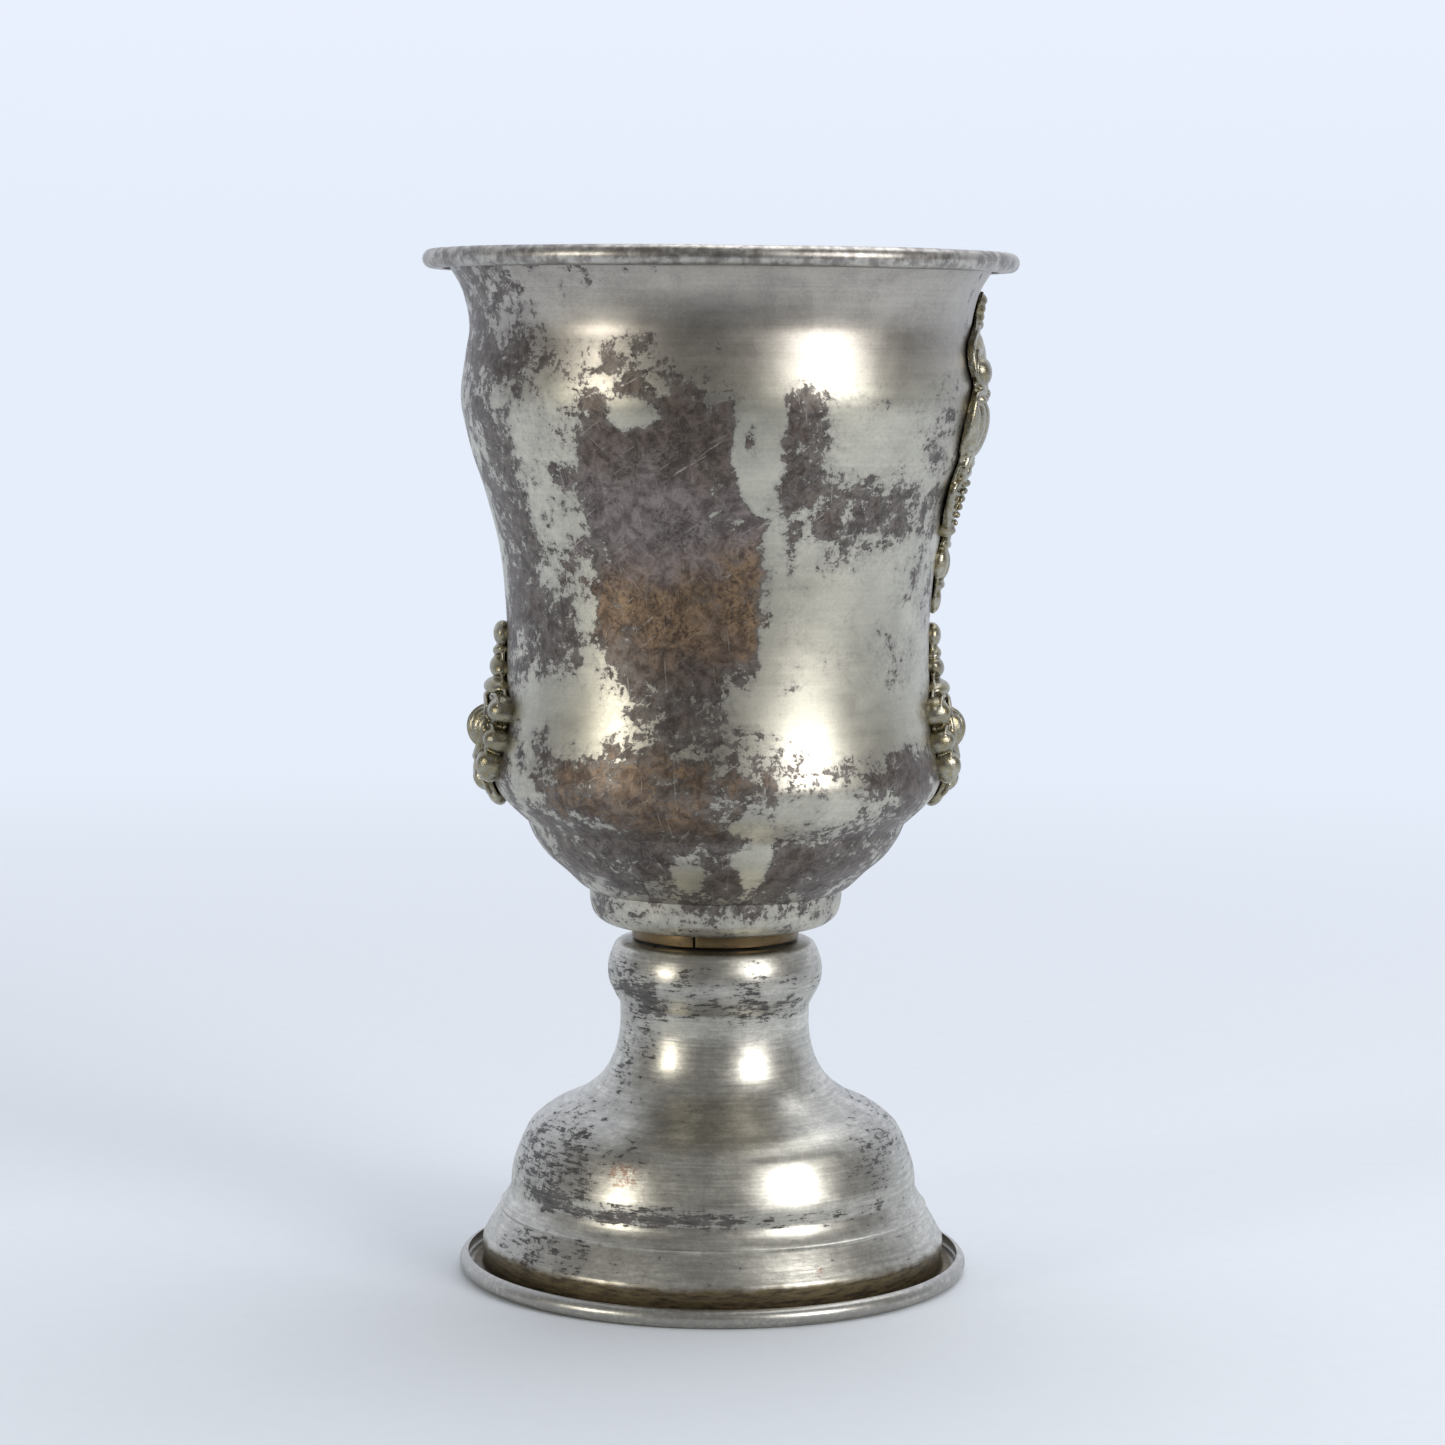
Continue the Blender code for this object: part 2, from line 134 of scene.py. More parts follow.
def foot_outline(wall):
    """The sheet's outer face from the stud's hole down to the end of the curled base ring."""
    spread = FOOT_RADIUS - STEM_RADIUS
    knop = smooth([(r * STEM_RADIUS, h * FOOT_HEIGHT) for r, h in FOOT_KNOP], 4)
    neck = smooth([(r * STEM_RADIUS, h * FOOT_HEIGHT) for r, h in FOOT_NECK], 4)
    bell = smooth([(STEM_RADIUS + r * spread, h * FOOT_HEIGHT) for r, h in FOOT_BELL], 4)
    top = bell[-1]
    low = (top[0] + FOOT_CONE_SPREAD, top[1] - FOOT_CONE_DROP)
    ridge_share = 0.36
    ridge = (top[0] + ridge_share * FOOT_CONE_SPREAD, top[1] - ridge_share * FOOT_CONE_DROP)
    cone = [
        (ridge[0] - 0.20 * MM, ridge[1] + 0.25 * MM), (ridge[0] + 0.16 * MM, ridge[1] + 0.06 * MM),
        (ridge[0] + 0.05 * MM, ridge[1] - 0.35 * MM), ((ridge[0] + low[0]) / 2, (ridge[1] + low[1]) / 2),
        (low[0] - 0.25 * MM, low[1] + 0.35 * MM), low,
    ]
    curl = (BASE_RING_HEIGHT - 2 * wall) / 2
    ring = (low[0] + GUTTER_WIDTH, wall + curl)
    turned_down = [(low[0] + 0.05 * MM, low[1] - 0.5 * MM), (low[0] - 0.1 * MM, wall + 0.9 * MM)]
    corner = arc((low[0] + 0.5 * MM, wall + 0.6 * MM), 0.6 * MM, 180, 270, 4)
    hole = [(3.3 * MM, FOOT_HEIGHT), (8.0 * MM, FOOT_HEIGHT)]
    return hole + knop + neck + bell + cone + turned_down + corner + arc(ring, curl, -90, 90, 10)


WALL_CURVE = np.array(smooth(bowl_stations(BOWL_WALL), 8))[::-1]


def wall_radius(heights):
    """The radius of the bowl's outer wall at the given heights."""
    return np.interp(heights, WALL_CURVE[:, 1], WALL_CURVE[:, 0])


# ---------------------------------------------------------------- modelling

def deselect():
    if bpy.context.mode != "OBJECT":
        bpy.ops.object.mode_set(mode="OBJECT")
    bpy.ops.object.select_all(action="DESELECT")


def activate(obj):
    deselect()
    obj.select_set(True)
    bpy.context.view_layer.objects.active = obj


def spun(name, outline, steps, closed=False, sweep=2 * math.pi):
    """Extrudes a point along an outline and spins it about the cup's axis. The outline starts at +X."""
    deselect()
    bpy.ops.mesh.primitive_plane_add(size=1 * MM)
    obj = bpy.context.object
    obj.name = name
    obj.data.name = name
    bpy.ops.object.mode_set(mode="EDIT")
    bpy.ops.mesh.merge(type="CENTER")
    place = Vector((0.0, 0.0, 0.0))
    path = [Vector((r, 0.0, z)) for r, z in outline]
    bpy.ops.transform.translate(value=path[0] - place)
    for before, after in zip(path, path[1:]):
        bpy.ops.mesh.extrude_region_move(TRANSFORM_OT_translate={"value": after - before})
    if closed:
        bpy.ops.mesh.extrude_region_move(TRANSFORM_OT_translate={"value": path[0] - path[-1]})
    bpy.ops.mesh.select_all(action="SELECT")
    bpy.ops.mesh.spin(steps=steps, angle=sweep, center=(0, 0, 0), axis=(0, 0, 1))
    bpy.ops.mesh.select_all(action="SELECT")
    bpy.ops.mesh.remove_doubles(threshold=0.002 * MM)
    bpy.ops.mesh.normals_make_consistent(inside=False)
    bpy.ops.object.mode_set(mode="OBJECT")
    return obj


def face_outwards(obj, height):
    """Turns an open spun sheet over if its wall at a height faces the axis."""
    face = min(obj.data.polygons, key=lambda f: abs(f.center.z - height) - 0.2 * f.center.xy.length)
    if face.normal.xy.dot(face.center.xy) < 0:
        activate(obj)
        bpy.ops.object.mode_set(mode="EDIT")
        bpy.ops.mesh.select_all(action="SELECT")
        bpy.ops.mesh.flip_normals()
        bpy.ops.object.mode_set(mode="OBJECT")


def apply_modifier(obj, kind, **settings):
    activate(obj)
    modifier = obj.modifiers.new(kind.title(), kind)
    for key, value in settings.items():
        setattr(modifier, key, value)
    bpy.ops.object.modifier_apply(modifier=modifier.name)


def dent(obj, size, depth):
    """Gives spun sheet the slight waviness of handling, from a soft cloud pattern."""
    clouds = bpy.data.textures.new(obj.name + "_waviness", "CLOUDS")
    clouds.noise_scale = size
    clouds.noise_depth = 1
    apply_modifier(
        obj, "DISPLACE", texture=clouds, texture_coords="LOCAL", strength=depth, mid_level=0.5,
    )
    bpy.data.textures.remove(clouds)


def shade(obj, angle=30):
    activate(obj)
    bpy.ops.object.shade_smooth_by_angle(angle=math.radians(angle))


def join(pieces, name):
    deselect()
    for piece in pieces:
        piece.select_set(True)
    bpy.context.view_layer.objects.active = pieces[0]
    bpy.ops.object.join()
    made = bpy.context.object
    made.name = name
    made.data.name = name
    bpy.ops.object.transform_apply(location=True, rotation=True, scale=True)
    return made


def finish_piece(obj, material, slot, *nodes):
    obj.data.materials.clear()
    obj.data.materials.append(material)
    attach(obj, "root")
    if nodes:
        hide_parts(*nodes)


# ---------------------------------------------------------------- ornaments, modelled flat and bent to the wall

def drop(x, y, width, height, rise, tilt=0.0, sink=0.0):
    """A rounded lump lying on the plate: x across, y up, z out, in mm."""
    bpy.ops.mesh.primitive_uv_sphere_add(segments=28, ring_count=18, radius=1.0, location=(x, y, sink))
    obj = bpy.context.object
    obj.scale = (width, height, rise)
    obj.rotation_euler.z = math.radians(tilt)
    return obj


def rim(points, thickness, height, closed=False, steps=8):
    """A raised wire along a line of given points."""
    curve = bpy.data.curves.new("rim", "CURVE")
    curve.dimensions = "3D"
    curve.bevel_depth = thickness
    curve.bevel_resolution = 3
    curve.use_fill_caps = True
    line = smooth(list(points) + ([points[0]] if closed else []), steps)
    spline = curve.splines.new("POLY")
    spline.points.add(len(line) - 1)
    for point, (x, y) in zip(spline.points, line):
        point.co = (x, y, height, 1.0)
    obj = bpy.data.objects.new("rim", curve)
    bpy.context.scene.collection.objects.link(obj)
    activate(obj)
    bpy.ops.object.convert(target="MESH")
    return bpy.context.object


def plate(stations, thickness, steps=5):
    """A flat plate with half widths given up its length, extruded from its outline."""
    line = smooth(stations, steps)
    right = [(w, y) for w, y in line]
    left = [(-w, y) for w, y in reversed(line)]
    deselect()
    bpy.ops.mesh.primitive_plane_add(size=1.0)
    obj = bpy.context.object
    bpy.ops.object.mode_set(mode="EDIT")
    bpy.ops.mesh.merge(type="CENTER")
    path = [Vector((x, y, 0.0)) for x, y in right + left]
    bpy.ops.transform.translate(value=path[0])
    for before, after in zip(path, path[1:]):
        bpy.ops.mesh.extrude_region_move(TRANSFORM_OT_translate={"value": after - before})
    bpy.ops.mesh.select_all(action="SELECT")
    bpy.ops.mesh.edge_face_add()
    bpy.ops.mesh.extrude_region_move(TRANSFORM_OT_translate={"value": (0.0, 0.0, thickness)})
    bpy.ops.mesh.select_all(action="SELECT")
    bpy.ops.mesh.normals_make_consistent(inside=False)
    bpy.ops.object.mode_set(mode="OBJECT")
    return obj


def mirrored(make, x, *args, **kwargs):
    """Two like lumps, left and right."""
    tilt = kwargs.pop("tilt", 0.0)
    return [make(side * x, *args, tilt=side * tilt, **kwargs) for side in (-1, 1)]


def cast(pieces, name, voxel, rounds):
    """Melts lumps and plates into one casting, and softens it as a mould does."""
    casting = join(pieces, name)
    apply_modifier(casting, "REMESH", mode="VOXEL", voxel_size=voxel)
    apply_modifier(casting, "SMOOTH", factor=0.5, iterations=rounds)
    return casting


def recess(mesh, heights):
    """How far each vertex lies below the softened relief round it: 1 in hollows, 0 on raised work."""
    edges = np.empty(len(mesh.edges) * 2, np.int32)
    mesh.edges.foreach_get("vertices", edges)
    a, b = edges.reshape(-1, 2).T
    count = np.bincount(a, minlength=len(heights)) + np.bincount(b, minlength=len(heights))
    soft = heights.copy()
    for _ in range(14):
        sums = np.bincount(a, soft[b], len(heights)) + np.bincount(b, soft[a], len(heights))
        soft = 0.5 * soft + 0.5 * sums / np.maximum(count, 1)
    hollow = np.clip(0.42 + (soft - heights) / (0.40 * MM), 0.0, 1.0)
    normals = np.empty(len(heights) * 3, np.float32)
    mesh.vertices.foreach_get("normal", normals)
    facing = np.clip(1.6 * normals[2::3], 0.0, 1.0)
    return hollow * facing + 0.34 * (1.0 - facing)


def bend_to_wall(casting, side, middle_height, gap):
    """Moves a flat casting (in mm) onto the bowl's wall, and keeps its relief as an attribute."""
    mesh = casting.data
    points = np.empty(len(mesh.vertices) * 3, np.float32)
    mesh.vertices.foreach_get("co", points)
    points = points.reshape(-1, 3).astype(float) * MM
    across, up, out = points.T
    height = middle_height + up
    radius = wall_radius(height)
    slope = (wall_radius(height + 1 * MM) - wall_radius(height - 1 * MM)) / (2 * MM)
    tilt = np.arctan(slope)
    proud = gap + out
    angle = across / (radius + 0.5 * proud)
    reach = radius + proud * np.cos(tilt)
    rise = height - proud * np.sin(tilt)
    made = np.stack([side * reach * np.cos(angle), side * reach * np.sin(angle), rise], axis=1)
    mesh.vertices.foreach_set("co", made.astype(np.float32).ravel())
    hollow = mesh.attributes.new("hollow", "FLOAT", "POINT")
    hollow.data.foreach_set("value", recess(mesh, out).astype(np.float32))
    mesh.update()


def rosette_pieces():
    """A knob on a beaded stem, rolled petals round a ribbed boss, and a tongue below."""
    stations = (
        (0.8, -13.0), (2.6, -11.8), (4.0, -9.8), (6.2, -8.2), (8.4, -6.4), (9.0, -3.4), (8.8, 0.0), (7.8, 2.2),
        (4.6, 4.4), (2.8, 5.8), (2.3, 8.4), (1.8, 10.4), (1.7, 12.4), (0.6, 13.2),
    )
    pieces = [plate(stations, 0.45)]
    pieces.append(drop(0.0, 11.4, 2.3, 1.9, 1.35, sink=0.3))
    pieces.append(drop(0.0, 8.8, 2.6, 1.05, 1.35, tilt=12, sink=0.35))
    pieces.append(drop(0.0, 6.5, 3.4, 1.75, 1.75, tilt=-10, sink=0.35))
    pieces.append(drop(0.0, 3.5, 5.6, 1.6, 2.5, sink=0.3))
    pieces += mirrored(drop, 5.2, -3.2, 3.4, 6.0, 1.5, sink=0.2)
    for turn in range(-3, 4):
        pieces.append(drop(1.5 * turn, -2.5, 1.0, 3.8 - 0.3 * abs(turn), 4.3 - 0.2 * turn**2, sink=0.2))
    pieces.append(drop(0.0, -2.5, 4.9, 3.5, 3.8, sink=0.2))
    ring = [(5.6 * math.cos(a), -2.5 + 4.6 * math.sin(a)) for a in np.linspace(0, 5.6, 9)]
    pieces.append(rim(ring, 0.45, 2.3, closed=True))
    for y, x, half, tilt in ((0.5, 6.6, 2.2, 14), (-3.7, 7.0, 1.9, 0), (-7.2, 5.8, 2.1, -22)):
        pieces += mirrored(drop, x, y, 3.5, half, 2.0, tilt=tilt, sink=0.5)
        pieces += mirrored(drop, x + 1.8, y, 1.7, 0.9 * half, 2.35, tilt=tilt, sink=0.5)
        for side in (-1, 1):
            fold = [(x - 2.8, y + half - 0.2), (x + 0.6, y + half), (x + 2.9, y + 0.4 * half)]
            pieces.append(rim([(side * across, up) for across, up in fold], 0.32, 1.7))
    pieces.append(drop(0.0, -8.4, 3.6, 2.1, 2.0, sink=0.4))
    pieces += mirrored(drop, 2.1, -9.2, 1.0, 1.6, 1.9, tilt=20, sink=0.4)
    pieces.append(drop(0.0, -9.4, 0.9, 1.8, 2.1, sink=0.4))
    pieces.append(rim([(-3.9, -9.6), (-2.2, -10.9), (0.0, -11.3), (2.2, -10.9), (3.9, -9.6)], 0.45, 1.0))
    pieces.append(drop(0.0, -12.0, 2.2, 1.3, 1.2, sink=0.3))
    return pieces


def seeds(low, high, width_low, width_high, pitch):
    """Rows of small beads that fill a tapering field."""
    rows = round((high - low) / pitch)
    made = []
    for row in range(rows + 1):
        share = row / rows
        half = width_low + (width_high - width_low) * share
        count = max(1, int(2 * half / pitch))
        offset = 0.5 * pitch * (count - 1)
        for i in range(count):
            place = (i * pitch - offset, low + (high - low) * share, 1.25)
            bpy.ops.mesh.primitive_ico_sphere_add(subdivisions=2, radius=0.44, location=place)
            made.append(bpy.context.object)
    return made


def both_sides(points):
    """A closed outline from its right half, given from the top of the middle line to the bottom."""
    return points + [(-x, y) for x, y in points[-2:0:-1]]


def emblem_pieces():
    """A flame finial, a leaf with pearls, a broad lobed leaf, a beaded pendant and a drop."""
    stations = (
        (0.8, -23.6), (2.0, -21.4), (3.6, -19.0), (4.9, -17.0), (4.4, -14.6), (5.2, -12.5), (10.2, -10.2),
        (12.6, -7.2), (13.8, -3.2), (14.0, -0.7), (15.6, 1.5), (15.9, 6.8), (14.2, 8.8), (13.2, 10.3),
        (14.3, 12.8), (13.0, 15.6), (8.0, 17.8), (3.6, 19.3), (2.2, 21.8), (0.6, 23.6),
    )
    pieces = [plate(stations, 0.42)]
    for i in range(4):
        pieces.append(drop(0.0, 22.5 - 1.2 * i, 1.6 + 0.4 * i, 0.85, 1.05 + 0.08 * i, tilt=22, sink=0.4))
    upper = [(0.0, 18.6), (4.0, 18.2), (8.3, 17.1), (12.8, 15.2), (13.8, 12.6), (12.6, 10.4), (6.5, 9.6), (0.0, 9.1)]
    pieces.append(rim(both_sides(upper), 0.42, 0.7, closed=True, steps=5))
    pieces.append(drop(0.0, 14.4, 5.4, 3.6, 1.4, sink=0.2))
    pieces += mirrored(drop, 6.6, 15.6, 5.4, 1.6, 1.25, tilt=-20, sink=0.1)
    for x, radius in ((0.0, 2.3), (-9.8, 2.1), (9.8, 2.1)):
        pieces.append(drop(x, 11.7, radius, radius, 1.8, sink=0.45))
        ring = [(x + 1.45 * radius * math.cos(a), 11.9 + 1.3 * radius * math.sin(a)) for a in np.linspace(0, 5.6, 9)]
        pieces.append(rim(ring, 0.34, 0.95, closed=True, steps=4))
    for x in range(-5, 6):
        pieces.append(drop(2.3 * x, 8.8 - 0.04 * x * x, 1.0, 0.6, 1.2, sink=0.3))
    lower = [(0.0, 7.9), (6.5, 8.0), (12.4, 8.8), (15.3, 7.4), (15.5, 3.0), (12.8, 0.2), (7.0, -0.8), (0.0, -1.5)]
    pieces.append(rim(both_sides(lower), 0.46, 0.75, closed=True, steps=5))
    pieces.append(drop(0.0, 3.5, 3.4, 4.3, 1.7, sink=0.3))
    pieces += mirrored(drop, 5.6, 3.8, 2.5, 4.0, 1.55, tilt=-12, sink=0.25)
    pieces += mirrored(drop, 10.1, 4.2, 2.4, 3.7, 1.4, tilt=-20, sink=0.2)
    pieces += mirrored(drop, 13.6, 5.0, 1.7, 3.0, 1.2, tilt=-28, sink=0.15)
    for side in (-1, 1):
        turns = [(t, 2.0 * (1 - t / 14)) for t in np.linspace(0, 9.5, 16)]
        curl = [(side * (11.6 + r * math.cos(t)), -1.4 + r * math.sin(t)) for t, r in turns]
        pieces.append(rim(curl, 0.5, 0.95, steps=3))
    pendant = [(0.0, -2.4), (7.0, -2.6), (13.1, -4.0), (12.6, -7.0), (10.1, -9.8), (5.2, -11.8), (0.0, -12.6)]
    pieces.append(rim(both_sides(pendant), 0.56, 0.7, closed=True, steps=5))
    pieces.append(drop(0.0, -6.6, 11.4, 5.4, 0.8, sink=0.2))
    pieces += seeds(-10.9, -3.8, 5.0, 11.6, 1.12)
    pieces += mirrored(drop, 8.6, -10.6, 1.3, 1.2, 1.5, sink=0.3)
    pieces.append(drop(0.0, -13.1, 5.0, 0.9, 1.4, sink=0.3))
    pieces += mirrored(drop, 3.1, -15.9, 2.2, 2.5, 1.4, tilt=-18, sink=0.2)
    pieces.append(drop(0.0, -16.2, 1.7, 2.9, 1.8, sink=0.3))
    pieces.append(drop(0.0, -19.2, 3.0, 1.0, 1.4, sink=0.3))
    pieces.append(drop(0.0, -21.4, 1.8, 2.2, 1.1, sink=0.25))
    return pieces


# ---------------------------------------------------------------- shader node helpers

def node(tree, kind, inputs=None, **settings):
    made = tree.nodes.new(kind)
    for key, value in settings.items():
        setattr(made, key, value)
    for key, value in (inputs or {}).items():
        if isinstance(value, bpy.types.NodeSocket):
            tree.links.new(value, made.inputs[key])
        else:
            made.inputs[key].default_value = value
    return made


def calc(tree, operation, a, b=0.0, clamp=False):
    return node(tree, "ShaderNodeMath", {0: a, 1: b}, operation=operation, use_clamp=clamp).outputs[0]


def total(tree, *values):
    result = values[0]
    for value in values[1:]:
        result = calc(tree, "ADD", result, value)
    return result


def ramp(tree, value, low, high, out_low=0.0, out_high=1.0):
    """A soft step from one level to another."""
    inputs = {"Value": value, "From Min": low, "From Max": high, "To Min": out_low, "To Max": out_high}
    return node(tree, "ShaderNodeMapRange", inputs, interpolation_type="SMOOTHSTEP").outputs[0]


def blend(tree, share, first, second):
    inputs = {0: share, 6: first, 7: second}
    return node(tree, "ShaderNodeMix", inputs, data_type="RGBA", clamp_factor=True).outputs[2]


def stretched(tree, coords, scale):
    return node(tree, "ShaderNodeVectorMath", {0: coords, 1: scale}, operation="MULTIPLY").outputs[0]


def noise(tree, coords, scale, detail=6.0, roughness=0.6, distortion=0.0, shift=0.0):
    inputs = {
        "Vector": coords, "Scale": scale, "Detail": detail, "Roughness": roughness,
        "Distortion": distortion, "W": shift,
    }
    return node(tree, "ShaderNodeTexNoise", inputs, noise_dimensions="4D").outputs[0]


def colour(red, green, blue):
    return (red, green, blue, 1.0)


def new_group(name, inputs, outputs):
    """A node group with named float inputs and outputs, given as name and socket type."""
    tree = bpy.data.node_groups.new(name, "ShaderNodeTree")
    for socket, kind, default in inputs:
        made = tree.interface.new_socket(name=socket, in_out="INPUT", socket_type=kind)
        if default is not None:
            made.default_value = default
    for socket, kind in outputs:
        tree.interface.new_socket(name=socket, in_out="OUTPUT", socket_type=kind)
    return tree, tree.nodes.new("NodeGroupInput").outputs, tree.nodes.new("NodeGroupOutput")


def group(tree, name, inputs=None):
    made = tree.nodes.new("ShaderNodeGroup")
    made.node_tree = bpy.data.node_groups[name]
    for key, value in (inputs or {}).items():
        if isinstance(value, bpy.types.NodeSocket):
            tree.links.new(value, made.inputs[key])
        else:
            made.inputs[key].default_value = value
    return made.outputs


def patch(tree, angle, height, ragged, *oval):
    """How far a point lies within an oval: middle and half width in degrees, middle and half height in mm."""
    inputs = {"Angle": angle, "Height": height, "Ragged": ragged}
    inputs.update(zip(("Angle Centre", "Angle Half", "Height Centre", "Height Half"), map(float, oval)))
    return group(tree, "Patch", inputs)["Mask"]


def make_place_group():
    """Where a point lies on the cup: degrees round from the front, height and radius in mm."""
    tree, _, end = new_group("Place on the cup", [], [
        ("Coords", "NodeSocketVector"), ("Angle", "NodeSocketFloat"), ("Height", "NodeSocketFloat"),
        ("Radius", "NodeSocketFloat"), ("Unrolled", "NodeSocketVector"),
    ])
    coords = node(tree, "ShaderNodeTexCoord").outputs["Object"]
    parts = node(tree, "ShaderNodeSeparateXYZ", {0: coords}).outputs
    turn = calc(tree, "ARCTAN2", parts[0], calc(tree, "MULTIPLY", parts[1], -1.0))
    angle = calc(tree, "DEGREES", turn)
    height = calc(tree, "MULTIPLY", parts[2], 1000.0)
    flat = node(tree, "ShaderNodeCombineXYZ", {0: parts[0], 1: parts[1]}).outputs[0]
    length = node(tree, "ShaderNodeVectorMath", {0: flat}, operation="LENGTH").outputs["Value"]
    radius = calc(tree, "MULTIPLY", length, 1000.0)
    around = calc(tree, "MULTIPLY", turn, 34.0)
    unrolled = node(tree, "ShaderNodeCombineXYZ", {0: around, 1: height}).outputs[0]
    for i, value in enumerate((coords, angle, height, radius, unrolled)):
        tree.links.new(value, end.inputs[i])


def make_patch_group():
    """1 in the middle of an oval patch of the wall, falling to 0 well outside its edge."""
    names = ("Angle", "Height", "Angle Centre", "Angle Half", "Height Centre", "Height Half", "Ragged")
    tree, start, end = new_group(
        "Patch", [(name, "NodeSocketFloat", None) for name in names], [("Mask", "NodeSocketFloat")],
    )
    across = calc(tree, "DIVIDE", calc(tree, "SUBTRACT", start["Angle"], start["Angle Centre"]), start["Angle Half"])
    up = calc(tree, "DIVIDE", calc(tree, "SUBTRACT", start["Height"], start["Height Centre"]), start["Height Half"])
    squares = calc(tree, "ADD", calc(tree, "MULTIPLY", across, across), calc(tree, "MULTIPLY", up, up))
    reach = calc(tree, "ADD", calc(tree, "SQRT", squares), start["Ragged"])
    tree.links.new(ramp(tree, reach, 1.45, 0.65), end.inputs[0])


def make_metal_wear_group():
    """Fine marks that every metal face has: turning lines, hairline scratches and grain."""
    tree, start, end = new_group(
        "Metal wear",
        [("Coords", "NodeSocketVector", None), ("Lines", "NodeSocketFloat", 1.0), ("Grain", "NodeSocketFloat", 1.0)],
        [("Height", "NodeSocketFloat"), ("Dullness", "NodeSocketFloat"), ("Shade", "NodeSocketFloat")],
    )
    coords = start["Coords"]
    lines = noise(tree, stretched(tree, coords, (45.0, 45.0, 2600.0)), 1.0, 5.0, 0.7)
    broad = noise(tree, stretched(tree, coords, (60.0, 60.0, 420.0)), 1.0, 4.0, 0.65, shift=3.0)
    grain = noise(tree, coords, 2600.0, 3.0, 0.7)
    smear = noise(tree, coords, 130.0, 7.0, 0.68, 0.4, shift=7.0)
    line_part = calc(tree, "MULTIPLY", calc(tree, "SUBTRACT", lines, 0.5), start["Lines"])
    grain_part = calc(tree, "MULTIPLY", grain, start["Grain"])
    tree.links.new(calc(tree, "ADD", line_part, grain_part), end.inputs[0])
    dull = total(tree, calc(tree, "MULTIPLY", smear, 0.6), calc(tree, "MULTIPLY", broad, 0.5), -0.55)
    tree.links.new(dull, end.inputs[1])
    shade_value = total(tree, calc(tree, "MULTIPLY", smear, 0.55), calc(tree, "MULTIPLY", broad, 0.2),
                        calc(tree, "MULTIPLY", grain, 0.25), calc(tree, "MULTIPLY", line_part, 0.5))
    tree.links.new(shade_value, end.inputs[2])


def new_material(name):
    material = bpy.data.materials.new(name)
    material.use_nodes = True
    tree = material.node_tree
    shader = tree.nodes["Principled BSDF"]
    return material, tree, shader


def connect(tree, shader, base, roughness, metallic, height=None, strength=0.1, distance=0.00005):
    for socket, value in (("Base Color", base), ("Roughness", roughness), ("Metallic", metallic)):
        if isinstance(value, bpy.types.NodeSocket):
            tree.links.new(value, shader.inputs[socket])
        else:
            shader.inputs[socket].default_value = value
    if height is not None:
        bump = node(tree, "ShaderNodeBump", {"Strength": strength, "Distance": distance, "Height": height})
        tree.links.new(bump.outputs[0], shader.inputs["Normal"])


BOWL_PATCHES = (
    (-17, 20, 121, 9, 0.22), (-20, 21, 112, 8, 0.16), (-10, 22, 103, 8, 0.21), (-12, 22, 94, 6, 0.21),
    (15, 6, 121, 9, 0.15), (-56, 23, 95, 8, 0.09), (-67, 11, 112, 15, 0.08), (34, 14, 112, 6, 0.13),
    (-14, 20, 85, 4, 0.08), (-22, 29, 74, 5.5, 0.14), (52, 20, 75, 5, 0.10), (-33, 28, 135, 3, 0.09), (-68, 16, 139, 9, 0.06),
    (0, 75, 65, 5, 0.11), (0, 95, 59, 3, 0.04), (5.5, 2.0, 124, 3.6, 0.30), (3, 8, 88, 4, -0.10),
    (30, 21, 97, 15, -0.07), (38, 16, 101, 7, -0.05), (5.5, 4.8, 124, 8, -0.40), (-44, 10, 118, 12, -0.08),
    (-45, 17, 86, 5, -0.14), (36, 26, 85, 5, -0.18), (30, 14, 123, 5, -0.10), (22, 26, 71, 4, -0.08),
    (20, 60, 141, 8, -0.12), (-12, 6, 62, 2.4, -0.26), (9, 5, 64, 4, -0.22), (-22, 5, 127, 2.2, -0.30),
    (11, 3.5, 100, 13, -0.17), (-38, 3.5, 100, 13, -0.12), (32, 26, 133, 4, -0.08),
)


def bias_of(tree, table, angle, height, ragged):
    """The sum of a table's patches."""
    parts = []
    for centre, half, level, half_level, strength in table:
        mask = patch(tree, angle, height, ragged, centre, half, level, half_level)
        parts.append(calc(tree, "MULTIPLY", mask, strength))
    return total(tree, *parts)


